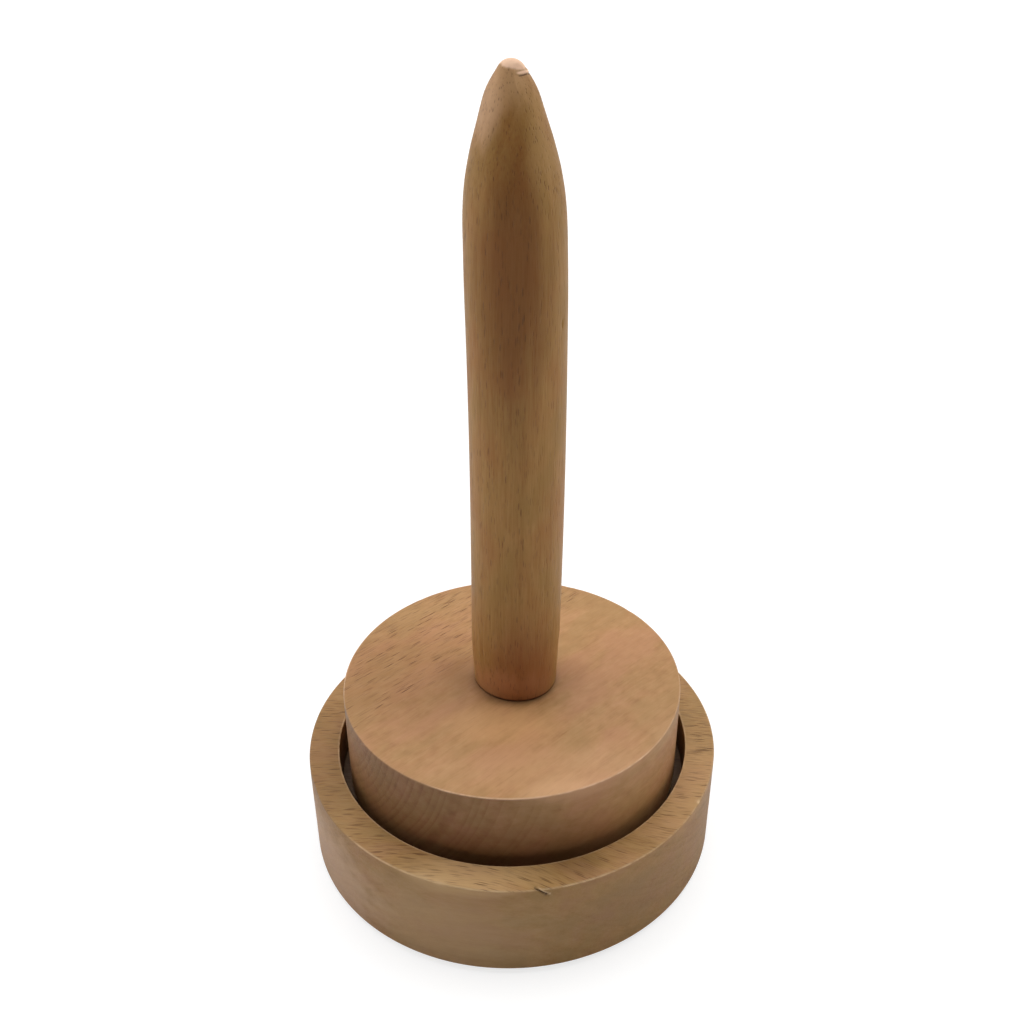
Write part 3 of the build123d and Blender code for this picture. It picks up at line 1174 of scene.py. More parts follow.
@dataclass(frozen=True)
class Pads:
    """The four rubber pads that are stuck under the bowl."""

    count: int = 4
    cone: float = 0.5 * MM
    foot_ease: float = 0.5 * MM
    top_ease: float = 0.1 * MM
    flat_border: float = 1.2 * MM
    underside: float = 0.05 * MM
    columns: int = 72
    ripple: Pair = (0.03 * MM, 0.9 * MM)

    def build(self) -> None:
        """Mould every pad."""
        for number in range(1, self.count + 1):
            self.build_pad(f"rubber_pad_{number}", f"pad_{number}")

    def build_pad(self, node: str, name: str) -> None:
        """Mould a pad: a low cone with a rounded foot, and in its underside rings by a cosine of the radius.

        Args:
            node: The CAD node.
            name: The new piece's name.
        """
        lowest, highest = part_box(node)
        radius, centre = (highest.x - lowest.x) / 2, (lowest + highest) / 2
        outline = trace(
            (
                Corner(0.0, lowest.z),
                Corner(radius - self.cone, lowest.z, self.foot_ease),
                Corner(radius, highest.z, self.top_ease),
                Corner(0.0, highest.z),
            ),
            closed=False,
            spacing=0.25 * MM,
        )
        surface = Surface(outline, ring_angles(self.columns), (centre.x, centre.y))
        under = (surface.height < lowest.z + self.underside) * (surface.radius < radius - self.flat_border)
        depth, width = self.ripple
        surface.sink(under * depth * (0.5 - 0.5 * np.cos(2 * pi * surface.radius / width)))
        add_piece(name, [surface], "base", RUBBER, node)


@dataclass(frozen=True)
class FootShape:
    """How the spindle's foot strays from round: sanded off at the front left and full at the right."""

    sanded: float = 1.3 * MM
    sanded_at: float = 226.0
    full: float = 0.6 * MM
    full_at: float = 358.0

    def depth(self, angles: np.ndarray) -> np.ndarray:
        """Depth taken off: each amount by the squared cosine of the angle from its middle.

        Args:
            angles: The angles round the axis.

        Returns:
            The depth at each angle.
        """
        sanded = self.sanded * np.clip(np.cos(angles - radians(self.sanded_at)), 0, None) ** 2
        full = self.full * np.clip(np.cos(angles - radians(self.full_at)), 0, None) ** 2
        return sanded - full


@dataclass(frozen=True)
class Turntable:
    """The thick disc that turns in the bowl."""

    edge_ease: float = 0.4 * MM
    seat_clearance: float = 0.15 * MM
    washer_clearance: float = 0.2 * MM
    bore_clearance: float = 0.25 * MM
    well_clearance: float = 1.0 * MM
    foot_radius: float = 11.75 * MM
    seat_ease: float = 0.1 * MM
    seat_squeeze: float = 0.28 * MM
    crown: float = 0.5 * MM
    crown_flat: float = 3.0 * MM
    crown_from: Pair = (6.0 * MM, 1.0 * MM)
    columns: int = 400
    rim_waves: float = 0.035 * MM
    rim_wear: Pair = (0.04 * MM, 1.6 * MM)
    knocks: int = 9
    knock: Triple = (0.1 * MM, 1.4 * MM, 0.5 * MM)
    knock_sizes: Pair = (0.4, 1.0)
    knock_seed: int = 12
    shade_width: float = 2.3 * MM
    least_shade: float = 0.12
    shade_arcs: tuple[Arc, ...] = (Arc(190, 350, 0.12, 15), Arc(235, 320, 0.16, 15))
    dull_arcs: tuple[Arc, ...] = (Arc(192, 240, 0.8), Arc(322, 380, 0.55))
    seat_blend: Pair = (2.7 * MM, 2.5 * MM)
    bright_from: float = 2.0 * MM

    def build(self) -> None:
        """Turn the disc with its bolt hole, the nut's well, the foot's seat and the washer's seat below."""
        bottom, top, outside = span("turntable")
        bore = SHANK_RADIUS + self.bore_clearance
        well = reach("nut_washer") + self.well_clearance
        washer = reach("wide_washer") + self.washer_clearance
        foot, seat_floor = self.foot_radius + self.seat_clearance, low("spindle")
        recess, well_floor = high("wide_washer"), low("nut_washer")
        outline = trace(
            (
                Corner(washer, bottom, self.seat_ease),
                Corner(outside, bottom, self.edge_ease),
                Corner(outside, top, self.edge_ease),
                Corner(foot, top, self.seat_ease),
                Corner(foot, seat_floor),
                Corner(well, seat_floor, self.seat_ease),
                Corner(well, well_floor),
                Corner(bore, well_floor),
                Corner(bore, recess),
                Corner(washer, recess),
            )
        )
        surface = Surface(outline, ring_angles(self.columns))
        rim = outline.corner_along(2)
        worn, reached = self.rim_wear
        uneven = slow_wave(surface.angles, seed=9, lobes=31, amount=self.rim_waves)
        depth = bell(surface.along - rim, reached) * (uneven + worn)
        rng = np.random.default_rng(self.knock_seed)
        deep, wide, tall = self.knock
        turns, sizes = (rng.uniform(*ends, self.knocks) for ends in ((0, 360), self.knock_sizes))
        for angle, size in zip(turns, sizes):
            depth = depth + Dent(angle, 0.0, deep * size, wide * size, tall).depths(surface, rim)
        surface.sink(np.maximum(depth, 0.0))
        self.shade(surface, foot)
        near, far = foot + self.crown_flat, outside
        fall = np.clip((surface.radius - near) / (far - near), 0, 1)
        low_end, high_end = (top - drop for drop in self.crown_from)
        surface.shift[..., 2] = -self.crown * fall * smooth_step(surface.height, low_end, high_end)
        inner, outer = self.seat_blend
        hole = fade(surface.radius, foot + MARGIN, foot + outer) * self.is_upper(surface)
        hole = hole * smooth_step(surface.radius, foot - inner, foot)
        surface.radius = surface.radius - (FootShape().depth(surface.angles) + self.seat_squeeze) * hole
        add_piece("turned_turntable", [surface], "turning_stack", TURNTABLE_BEECH, "turntable")

    @staticmethod
    def is_upper(surface: Surface) -> np.ndarray:
        """Tell which points are on the disc's upper side, down to the floor of the foot's seat."""
        return surface.height > low("spindle") - MARGIN

    def shade(self, surface: Surface, foot: float) -> None:
        """Paint shade on the wood beside the foot, most in front, and dull the rim's pale worn edge and
        painted highlight at both sides.

        Args:
            surface: The turned surface, marked in place.
            foot: The radius of the foot's seat.
        """
        # Painted shade: the disc's top is darkened in a ring round the foot, most in front.
        near_foot = fade(surface.radius, foot + MARGIN, foot + self.shade_width)
        front = arc_shares(self.shade_arcs, surface.angles)
        surface.marks["dirt_and_shade"] = (self.least_shade + front) * near_foot * self.is_upper(surface)
        # The pale worn edge and its painted highlight are dulled at both sides and left off near the foot's
        # seat.
        dull = arc_shares(self.dull_arcs, surface.angles)
        surface.marks["edge"] *= (1 - dull) * (surface.radius > foot + self.bright_from)


@dataclass(frozen=True)
class Spindle:
    """The upright dowel, slightly bowed: a drawn-in foot, a slim nose, a blunter point and a torn tip."""

    foot_draw_in: float = 0.65 * MM
    foot_ease: float = 1.0 * MM
    foot_taper: float = 18.0 * MM
    foot_blend: float = 40.0 * MM
    nose_half_angle: float = 17.4
    nose_shoulder: float = 80.0 * MM
    point_half_angle: float = 33.0
    point_radius: float = 5.55 * MM
    point_shoulder: float = 18.0 * MM
    tip_radius: float = 3.4 * MM
    nose_step: float = 0.5 * MM
    point_step: float = 0.25 * MM
    columns: int = 240
    foot_corner: int = 5
    point_corner: int = 8
    hole_clearance: float = 0.02 * MM
    bolt_clearance: float = 0.25 * MM
    bolt_room: float = 2.0 * MM
    lean: float = 0.5 * MM
    lean_share: float = 0.12
    bow: float = 1.05 * MM
    facet_normal: Triple = (0.5, -0.7, 0.5)
    facet_depth: float = 0.22 * MM
    facet_press: float = 0.9
    tear_waves: float = 0.12 * MM
    cap_drop: Pair = (1.5 * MM, 0.4 * MM)
    cap_blur: float = 0.3 * MM
    cap_share: float = 0.9
    contact: Pair = (55.3 * MM, 56.3 * MM)
    contact_arc: Arc = Arc(208, 325, 0.7, 20)
    contact_least: float = 0.3
    contact_shade: float = 0.65
    crack_shade: float = 0.8
    ridge: Pair = (0.016 * MM, 1.15 * MM)
    nose_waves: float = 0.04 * MM
    nose_worn: float = 0.03 * MM
    shaft_waves: float = 0.05 * MM
    twists: Pair = (9.0 * MM, 60.0 * MM)
    foot_worn: float = 17.0 * MM
    kept_tip: Pair = (6.0 * MM, 2.0 * MM)
    nose_from: Pair = (45.0 * MM, 25.0 * MM)
    hand_from: float = 30.0 * MM
    hole_border: Pair = (7.0 * MM, 10.7 * MM)
    neck: Triple = (0.22 * MM, 38.0 * MM, 9.0 * MM)
    dents: tuple[Dent, ...] = (
        Dent(176.0, -11.5 * MM, -0.16 * MM, 3.2 * MM, 3.2 * MM),
        Dent(331.0, -62.0 * MM, 0.35 * MM, 0.5 * MM, 1.1 * MM),
        Dent(278.0, -19.0 * MM, 0.10 * MM, 0.9 * MM, 0.4 * MM),
        Dent(270.0, -16.6 * MM, 0.10 * MM, 0.6 * MM, 0.35 * MM),
        Dent(286.0, -24.0 * MM, 0.10 * MM, 0.8 * MM, 0.4 * MM),
    )
    flake: Cut = Cut((278.0, -4.2 * MM), (318.0, -4.8 * MM), -0.14 * MM, 0.4 * MM)
    flake_edge: Pair = (0.04 * MM, 0.12 * MM)
    crack: Cut = Cut((276.0, -4.7 * MM), (326.0, -5.5 * MM), 0.2 * MM, 0.14 * MM)
    crack_edge: Pair = (0.06 * MM, 0.16 * MM)

    def build(self) -> None:
        """Turn the dowel and mark it."""
        surface = self.surface()
        self.bend(surface)
        self.wear(surface)
        self.tear(surface)
        add_piece("turned_spindle", [surface], "turning_stack", SPINDLE_BEECH, "spindle")

    def surface(self) -> Surface:
        """Turn the outline: foot, taper, straight, two eased cones and a round tip, with the hole inside.

        Returns:
            The plain surface.
        """
        foot, top, radius = span("spindle")
        nose, point = radians(self.nose_half_angle), radians(self.point_half_angle)
        bolt = SHANK_RADIUS + self.bolt_clearance
        hole_end = high("socket_head_bolt") + self.bolt_room
        insert, insert_top = reach("threaded_insert") + self.hole_clearance, high("threaded_insert")
        edge_radius = self.tip_radius * cos(point)
        edge_height = top - self.tip_radius * (1 - sin(point))
        point_bottom = edge_height - (self.point_radius - edge_radius) / tan(point)
        nose_bottom = point_bottom - (radius - self.point_radius) / tan(nose)
        apex = edge_height + edge_radius / tan(point)
        outline = trace(
            (
                Corner(0.0, hole_end),
                Corner(bolt, hole_end),
                Corner(bolt, insert_top),
                Corner(insert, insert_top),
                Corner(insert, foot),
                Corner(radius - self.foot_draw_in, foot, self.foot_ease),
                Corner(radius, foot + self.foot_taper, self.foot_blend),
                Corner(radius, nose_bottom, self.nose_shoulder, self.nose_step),
                Corner(self.point_radius, point_bottom, self.point_shoulder, self.point_step),
                Corner(0.0, apex),
            ),
            closed=False,
            spacing=0.55 * MM,
        )
        on_tip = outline.height > edge_height
        lift = np.clip((outline.height - edge_height) / (apex - edge_height), 0, 1)
        turn = point + lift * (pi / 2 - point)
        outline.radius = np.where(on_tip, self.tip_radius * np.cos(turn), outline.radius)
        outline.height = np.where(on_tip, top - self.tip_radius * (1 - np.sin(turn)), outline.height)
        outline.radius[-1] = 0.0
        return Surface(outline, ring_angles(self.columns))

    def bend(self, surface: Surface) -> None:
        """Lean the dowel over its lowest part and bow it by half a sine wave, leaving the hole straight.

        Args:
            surface: The plain surface, shifted in place.
        """
        foot, top = low("spindle"), high("spindle")
        share = np.clip((surface.height - foot) / (top - foot), 0, 1)
        outside = surface.along > surface.outline.corner_along(self.foot_corner)
        bend = self.lean * smooth_step(share, 0.0, self.lean_share) + self.bow * np.sin(pi * share)
        surface.shift[..., 0] = bend * outside

    def wear(self, surface: Surface) -> None:
        """Sand the dowel unevenly: faint turning ridges and dents on the nose, and long low waves below it.

        Args:
            surface: The plain surface.
        """
        foot, top = low("spindle"), high("spindle")
        outside = surface.along > surface.outline.corner_along(self.foot_corner)
        below_tip = fade(surface.height, top - self.kept_tip[0], top - self.kept_tip[1]) * outside
        nose = smooth_step(surface.height, top - self.nose_from[0], top - self.nose_from[1]) * below_tip
        deep, apart = self.ridge
        ridges = deep * np.sin(2 * pi * surface.height / apart + 2 * np.sin(surface.angles))
        twisted, slowly = (surface.angles + surface.height / twist for twist in self.twists)
        uneven = slow_wave(twisted, seed=5, lobes=9, amount=self.nose_waves)
        hand = slow_wave(slowly, seed=8, lobes=5, amount=self.shaft_waves) * below_tip
        hand = hand * smooth_step(surface.height, foot, foot + self.hand_from)
        surface.sink(nose * (ridges + uneven + self.nose_worn) + hand)
        worn = fade(surface.height, foot, foot + self.foot_worn)
        worn = worn * smooth_step(surface.radius, *self.hole_border)
        surface.radius = surface.radius - FootShape().depth(surface.angles) * worn
        deep, drop, half_width = self.neck
        surface.sink(deep * bell(surface.height - (top - drop), half_width) * outside)
        edge = float(surface.outline.along[-1])
        for dent in self.dents:
            surface.sink(dent.depths(surface, edge) * outside)

    def tear(self, surface: Surface) -> None:
        """Tear the tip: a tilted plane presses its front flat, and a flake stands over a crack darkened with
        painted shade.

        Args:
            surface: The worn surface, changed in place.
        """
        top = high("spindle")
        outside = surface.along > surface.outline.corner_along(self.point_corner)
        edge = float(surface.outline.along[-1])
        normal = np.array(self.facet_normal) / np.linalg.norm(self.facet_normal)
        centre = np.array((self.lean, 0.0, top - self.tip_radius))
        ragged = slow_wave(surface.angles, seed=21, lobes=17, amount=self.tear_waves)
        above = (surface.points() - centre) @ normal - (self.tip_radius - self.facet_depth) + ragged
        surface.shift -= np.clip(above, 0, None)[..., None] * normal * self.facet_press
        flake, crack = -self.flake.depths(surface, edge), self.crack.depths(surface, edge)
        surface.sink((crack - flake) * outside)
        drop, tilt = self.cap_drop
        border = top - drop - tilt * np.cos(surface.angles) + ragged * 1.5
        cap = self.cap_share * smooth_step(surface.height, border - self.cap_blur, border + self.cap_blur)
        surface.marks["raw"] = np.clip(cap + smooth_step(flake, *self.flake_edge), 0, 1) * outside
        # Painted shade: a dark line round the foot where it meets the disc, most in front.
        contact = self.contact_least + self.contact_arc.share(surface.angles)
        contact = fade(surface.height, *self.contact) * contact
        # Painted shade in the crack under the flake.
        in_crack = smooth_step(crack, *self.crack_edge) * outside
        surface.marks["dirt_and_shade"] = np.maximum(self.crack_shade * in_crack, self.contact_shade * contact)


@dataclass(frozen=True)
class Bearing:
    """The ball bearing between the bowl and the turning stack: 8 by 22 by 7 with seven balls."""

    bore: float = 4.0 * MM
    ball_count: int = 7
    ball_radius: float = 1.9845 * MM
    play: float = 0.02 * MM
    ring_ease: float = 0.3 * MM
    lip_ease: float = 0.1 * MM
    ring_spacing: float = 0.35 * MM
    raceway_step: float = 0.12 * MM
    ring_columns: int = 120
    inner_columns: int = 96
    ball_grid: tuple[int, int] = (25, 40)
    cage_columns: int = 64
    cage_spacing: float = 0.3 * MM
    shield_spacing: float = 0.2 * MM
    shield_wave: Pair = (0.72, 0.14)
    cage_ease: float = 0.12 * MM
    shield_ease: float = 0.08 * MM
    shield_gaps: Pair = (0.2 * MM, 0.02 * MM)
    cage_top_drop: float = 0.45 * MM
    claw_width: float = 0.75 * MM
    pocket_play: float = 0.08 * MM

    @property
    def pitch(self) -> float:
        """Radius of the circle of ball centres, half way from the bore to the outside."""
        return (self.bore + reach("bearing_outer_ring")) / 2

    @property
    def middle(self) -> float:
        """Height of the ball centres."""
        return (low("bearing_outer_ring") + high("bearing_outer_ring")) / 2

    def build(self) -> None:
        """Make the rings, balls, cage and shields."""
        self.build_outer_ring()
        self.build_inner_ring()
        self.build_balls()
        self.build_cage()
        for side in ("lower", "upper"):
            self.build_shield(side)

    def groove(self, outline: Outline, wall: float, side: int) -> None:
        """Let a raceway into a ring's wall: a circle about the ball's centre, where it passes the wall.

        Args:
            outline: The ring's outline, changed in place.
            wall: The radius of the plain wall.
            side: 1 for the outer ring and -1 for the inner one.
        """
        raceway = self.ball_radius + self.play
        on_wall = np.abs(outline.radius - wall) < SAME
        half = np.sqrt(np.clip(raceway**2 - (outline.height - self.middle) ** 2, 0, None))
        curve = self.pitch + side * half
        deeper = (curve - wall) * side > 0
        outline.radius = np.where(on_wall & deeper, curve, outline.radius)

    def build_outer_ring(self) -> None:
        """Turn the outer ring with its raceway and rounded corners."""
        node, ease, lip = "bearing_outer_ring", self.ring_ease, self.lip_ease
        wall = reach("bearing_shield_lower") + self.shield_gaps[1]
        steps = (0.0, 0.0, 0.0, self.raceway_step)
        eases = (lip, ease, ease, lip)
        outline = ring_outline((wall, reach(node)), (low(node), high(node)), self.ring_spacing, eases, steps)
        self.groove(outline, wall, 1)
        surfaces = [Surface(outline, ring_angles(self.ring_columns))]
        add_piece("bearing_outer_race", surfaces, "base", RING_STEEL, node)

    def build_inner_ring(self) -> None:
        """Turn the inner ring with its raceway and rounded corners."""
        node, ease, lip = "bearing_inner_ring", self.ring_ease, self.lip_ease
        wall = reach(node)
        steps = (0.0, self.raceway_step, 0.0, 0.0)
        eases = (ease, lip, lip, ease)
        outline = ring_outline((self.bore, wall), (low(node), high(node)), self.ring_spacing, eases, steps)
        self.groove(outline, wall, -1)
        surfaces = [Surface(outline, ring_angles(self.inner_columns))]
        add_piece("bearing_inner_race", surfaces, "turning_stack", RING_STEEL, node)

    def build_balls(self) -> None:
        """Turn seven true spheres: the radius is the ball's by the sine, and the height by the cosine."""
        rows, columns = self.ball_grid
        swing = np.linspace(0, pi, rows)
        radius, height = self.ball_radius * np.sin(swing), self.middle - self.ball_radius * np.cos(swing)
        radius[[0, -1]] = 0.0
        outline = Outline(radius, height, False, np.array([0]), np.array([False]))
        surfaces = [
            Surface(outline, ring_angles(columns), (self.pitch * cos(angle), self.pitch * sin(angle)))
            for angle in np.linspace(0, 2 * pi, self.ball_count, endpoint=False)
        ]
        add_piece("bearing_ball_ring", surfaces, "ball_set", BALL_STEEL, "bearing_balls")

    def build_cage(self) -> None:
        """Mould the crown cage: a ring whose top dips round each ball and stands up in claws beside it."""
        bottom, top, outside = span("bearing_cage")
        inside = 2 * self.pitch - outside
        outline = ring_outline((inside, outside), (bottom, top), self.cage_spacing, [self.cage_ease] * 4)
        surface = Surface(outline, ring_angles(self.ball_count * self.cage_columns))
        spacing = 2 * pi / self.ball_count
        turn = (surface.angles + spacing / 2) % spacing - spacing / 2
        across = np.abs(self.pitch * np.sin(turn))
        pocket = self.ball_radius + self.pocket_play
        dip = self.middle - np.sqrt(np.clip(pocket**2 - across**2, 0, None))
        claw_end = pocket + self.claw_width
        beside = top - self.cage_top_drop * smooth_step(across, claw_end, claw_end + self.claw_width)
        crown = np.where(across < pocket, dip, beside)
        share = (surface.height - bottom) / (top - bottom)
        surface.height = bottom + share * (crown - bottom)
        add_piece("bearing_crown_cage", [surface], "ball_set", NYLON, "bearing_cage")

    def build_shield(self, side: str) -> None:
        """Press a shield: a thin ring with a shallow wave from its bore to its rim.

        Args:
            side: Which of the two shields, lower or upper.
        """
        node = f"bearing_shield_{side}"
        bottom, top, outside = span(node)
        inside = reach("bearing_inner_ring") + self.shield_gaps[0]
        eases = [self.shield_ease] * 4
        outline = ring_outline((inside, outside), (bottom, top), self.shield_spacing, eases)
        share = (outline.radius - inside) / (outside - inside)
        middle = (bottom + top) / 2
        mean, swing = self.shield_wave
        outline.height = middle + (outline.height - middle) * (mean + swing * np.cos(4 * pi * share))
        surfaces = [Surface(outline, ring_angles(self.ring_columns))]
        add_piece(f"bearing_cover_{side}", surfaces, "base", SHIELD_STEEL, node)


@dataclass(frozen=True)
class Fasteners:
    """What clamps the turning stack: bolt, washers, spacer, nut and the insert in the spindle."""

    pitch: float = 1.25 * MM
    thread_depth: float = 0.6 * MM
    thread_play: float = 0.05 * MM
    thread_length: float = 30.0 * MM
    socket_flats: float = 6.0 * MM
    socket_depth: float = 4.0 * MM
    nut_flats: float = 13.0 * MM
    knurl_depth: float = 0.14 * MM
    knurl_teeth: int = 48
    insert_pitch: float = 2.2 * MM
    insert_thread: float = 0.6 * MM
    drive_depth: float = 3.0 * MM
    drive_margin: float = 0.25 * MM
    washer_play: float = 0.25 * MM
    washer_ease: float = 0.25 * MM
    spacer_ease: float = 0.35 * MM
    bore_ease: float = 0.15 * MM
    end_chamfer: float = 0.8 * MM
    head_ease: float = 0.25 * MM
    neck_ease: float = 0.3 * MM
    thread_step: float = 0.2 * MM
    thread_mouth: float = 0.7 * MM
    socket_cone: float = 0.5 * MM
    knurl_border: float = 0.9 * MM
    knurl_start: float = 1.3 * MM
    knurl_end: Pair = (1.0 * MM, 0.7 * MM)
    nut_face: float = 0.95
    insert_eases: Pair = (0.5 * MM, 1.0 * MM)
    insert_step: float = 0.25 * MM
    insert_lead: Pair = (0.8 * MM, 2.4 * MM)
    drive_lead: Pair = (0.1 * MM, 0.3 * MM)
    ring_columns: int = 96
    threaded_columns: int = 144

    def build(self) -> None:
        """Make every fastener."""
        self.build_bolt()
        for node, name, ease in (
            ("lower_washer", "washer_under_bearing", self.washer_ease),
            ("wide_washer", "washer_in_turntable", self.washer_ease),
            ("nut_washer", "washer_under_nut", self.washer_ease),
            ("spacer_sleeve", "spacer_tube", self.spacer_ease),
        ):
            self.build_ring(node, name, ease)
        self.build_nut()
        self.build_insert()

    def shank(self, angles: np.ndarray, heights: np.ndarray) -> np.ndarray:
        """Radius of the bolt's thread at an angle and a height: its crest less the depth of the wave."""
        return SHANK_RADIUS - self.thread_depth * (1 - thread_wave(angles, heights, self.pitch))

    def build_bolt(self) -> None:
        """Turn the bolt, head down, with a knurled head, a hexagon socket and a rolled thread."""
        bottom, top, head = span("socket_head_bolt")
        seat, socket, shank = low("lower_washer"), self.socket_flats / 2, SHANK_RADIUS
        chamfer, border = self.end_chamfer, self.knurl_border
        floor = bottom + self.socket_depth
        thread_from = top - self.thread_length
        outline = trace(
            (
                Corner(0.0, floor + self.socket_cone),
                Corner(socket, floor),
                Corner(socket, bottom),
                Corner(head, bottom, chamfer),
                Corner(head, seat, self.head_ease),
                Corner(shank, seat, self.neck_ease),
                Corner(shank, thread_from, 0.0, self.thread_step),
                Corner(shank, top - chamfer),
                Corner(shank - chamfer, top),
                Corner(0.0, top),
            ),
            closed=False,
            spacing=0.45 * MM,
        )
        surface = Surface(outline, ring_angles(6 * self.knurl_teeth))
        before_seat = surface.along < outline.corner_along(4)
        in_socket = surface.along <= outline.corner_along(2) + SAME * MM
        on_face = before_seat & ~in_socket & (surface.height < bottom + SAME)
        six = hexagon(surface.angles, self.socket_flats)
        nearness = np.clip((head - border - surface.radius) / (head - border - socket), 0, 1)
        surface.radius = np.where(in_socket, surface.radius * six / socket, surface.radius)
        surface.radius = surface.radius + np.where(on_face, nearness * (six - socket), 0)
        side = smooth_step(surface.height, bottom + border, bottom + self.knurl_start)
        side = side * fade(surface.height, seat - self.knurl_end[0], seat - self.knurl_end[1])
        side = side * (surface.radius > head - MARGIN) * before_seat
        knurl = np.abs(np.sin(self.knurl_teeth / 2 * surface.angles))
        surface.radius = surface.radius - side * self.knurl_depth * knurl
        threaded = (surface.height > thread_from) & (surface.along > outline.corner_along(5))
        screwed = np.minimum(surface.radius, self.shank(surface.angles, surface.height))
        run_out = smooth_step(surface.height, thread_from, thread_from + self.pitch)
        surface.radius = surface.radius + threaded * (screwed - surface.radius) * run_out
        add_piece("socket_bolt", [surface], "turning_stack", ZINC, "socket_head_bolt", 30.0)

    def build_ring(self, node: str, name: str, ease: float) -> None:
        """Make a washer or a sleeve: a ring with a rounded outer edge from the press or the lathe.

        Args:
            node: The CAD node.
            name: The new piece's name.
            ease: The rounding of the outer edges.
        """
        radii = (SHANK_RADIUS + self.washer_play, reach(node))
        eases = (self.bore_ease, ease, ease * 0.5, self.bore_ease)
        outline = ring_outline(radii, (low(node), high(node)), 0.5 * MM, eases)
        surfaces = [Surface(outline, ring_angles(self.ring_columns))]
        add_piece(name, surfaces, "turning_stack", ZINC, node)

    def build_nut(self) -> None:
        """Make the nut: a chamfered disc cut to a hexagon, with a threaded bore."""
        bottom, top = low("hexagon_nut"), high("hexagon_nut")
        corner, face = self.nut_flats / 2 / cos(radians(30)), self.nut_flats / 2 * self.nut_face
        drop = (corner - face) * tan(radians(30))
        bore = SHANK_RADIUS + self.thread_play
        outline = trace(
            (
                Corner(bore, bottom, 0.0),
                Corner(face, bottom),
                Corner(corner, bottom + drop),
                Corner(corner, top - drop),
                Corner(face, top),
                Corner(bore, top, 0.0, self.thread_step),
            ),
            spacing=0.3 * MM,
        )
        surface = Surface(outline, ring_angles(self.threaded_columns))
        outside = surface.radius > face + SAME
        six = hexagon(surface.angles, self.nut_flats)
        surface.radius = np.where(outside, np.minimum(surface.radius, six), surface.radius)
        inside = np.abs(surface.radius - bore) < SAME
        surface.radius = np.where(inside, self.screwed_bore(surface, bottom, top), surface.radius)
        add_piece("clamp_nut", [surface], "turning_stack", ZINC, "hexagon_nut", 25.0)

    def screwed_bore(self, surface: Surface, bottom: float, top: float) -> np.ndarray:
        """Radius of a bore that the bolt screws into, opened to the plain bore at both mouths.

        Args:
            surface: The surface that holds the bore.
            bottom: The height of the lower mouth.
            top: The height of the upper mouth.

        Returns:
            The radius on the grid.
        """
        screwed = self.shank(surface.angles, surface.height) + self.thread_play
        mouth = np.minimum(surface.height - bottom, top - surface.height)
        open_share = fade(mouth, 0.0, self.thread_mouth)
        return screwed + (SHANK_RADIUS + self.thread_play - screwed) * open_share

    def build_insert(self) -> None:
        """Make the insert: a coarse wood thread outside, a bolt thread inside and a hexagon at its foot."""
        bottom, top, outside = span("threaded_insert")
        bore = SHANK_RADIUS + self.thread_play
        drive_top = bottom + self.drive_depth
        eases = (0.0, *self.insert_eases, 0.0)
        steps = (0.0, self.insert_step, 0.0, self.thread_step)
        outline = ring_outline((bore, outside), (bottom, top), 0.4 * MM, eases, steps)
        surface = Surface(outline, ring_angles(self.threaded_columns))
        on_outside = (surface.along > outline.corner_along(1)) & (surface.along < outline.corner_along(2))
        wave = thread_wave(surface.angles, surface.height, self.insert_pitch)
        start, end = self.insert_lead
        ends = smooth_step(surface.height, bottom + start, bottom + end)
        cut = self.insert_thread * (1 - wave) * ends
        surface.radius = np.where(on_outside, np.minimum(surface.radius, outside - cut), surface.radius)
        inside = np.abs(surface.radius - bore) < SAME
        six = hexagon(surface.angles, 2 * (bore + self.drive_margin))
        threads = self.screwed_bore(surface, drive_top, top)
        below, above = self.drive_lead
        lead = smooth_step(surface.height, drive_top - below, drive_top + above)
        surface.radius = np.where(inside, six + (threads - six) * lead, surface.radius)
        add_piece("wood_insert", [surface], "turning_stack", BRASS, "threaded_insert", 30.0)


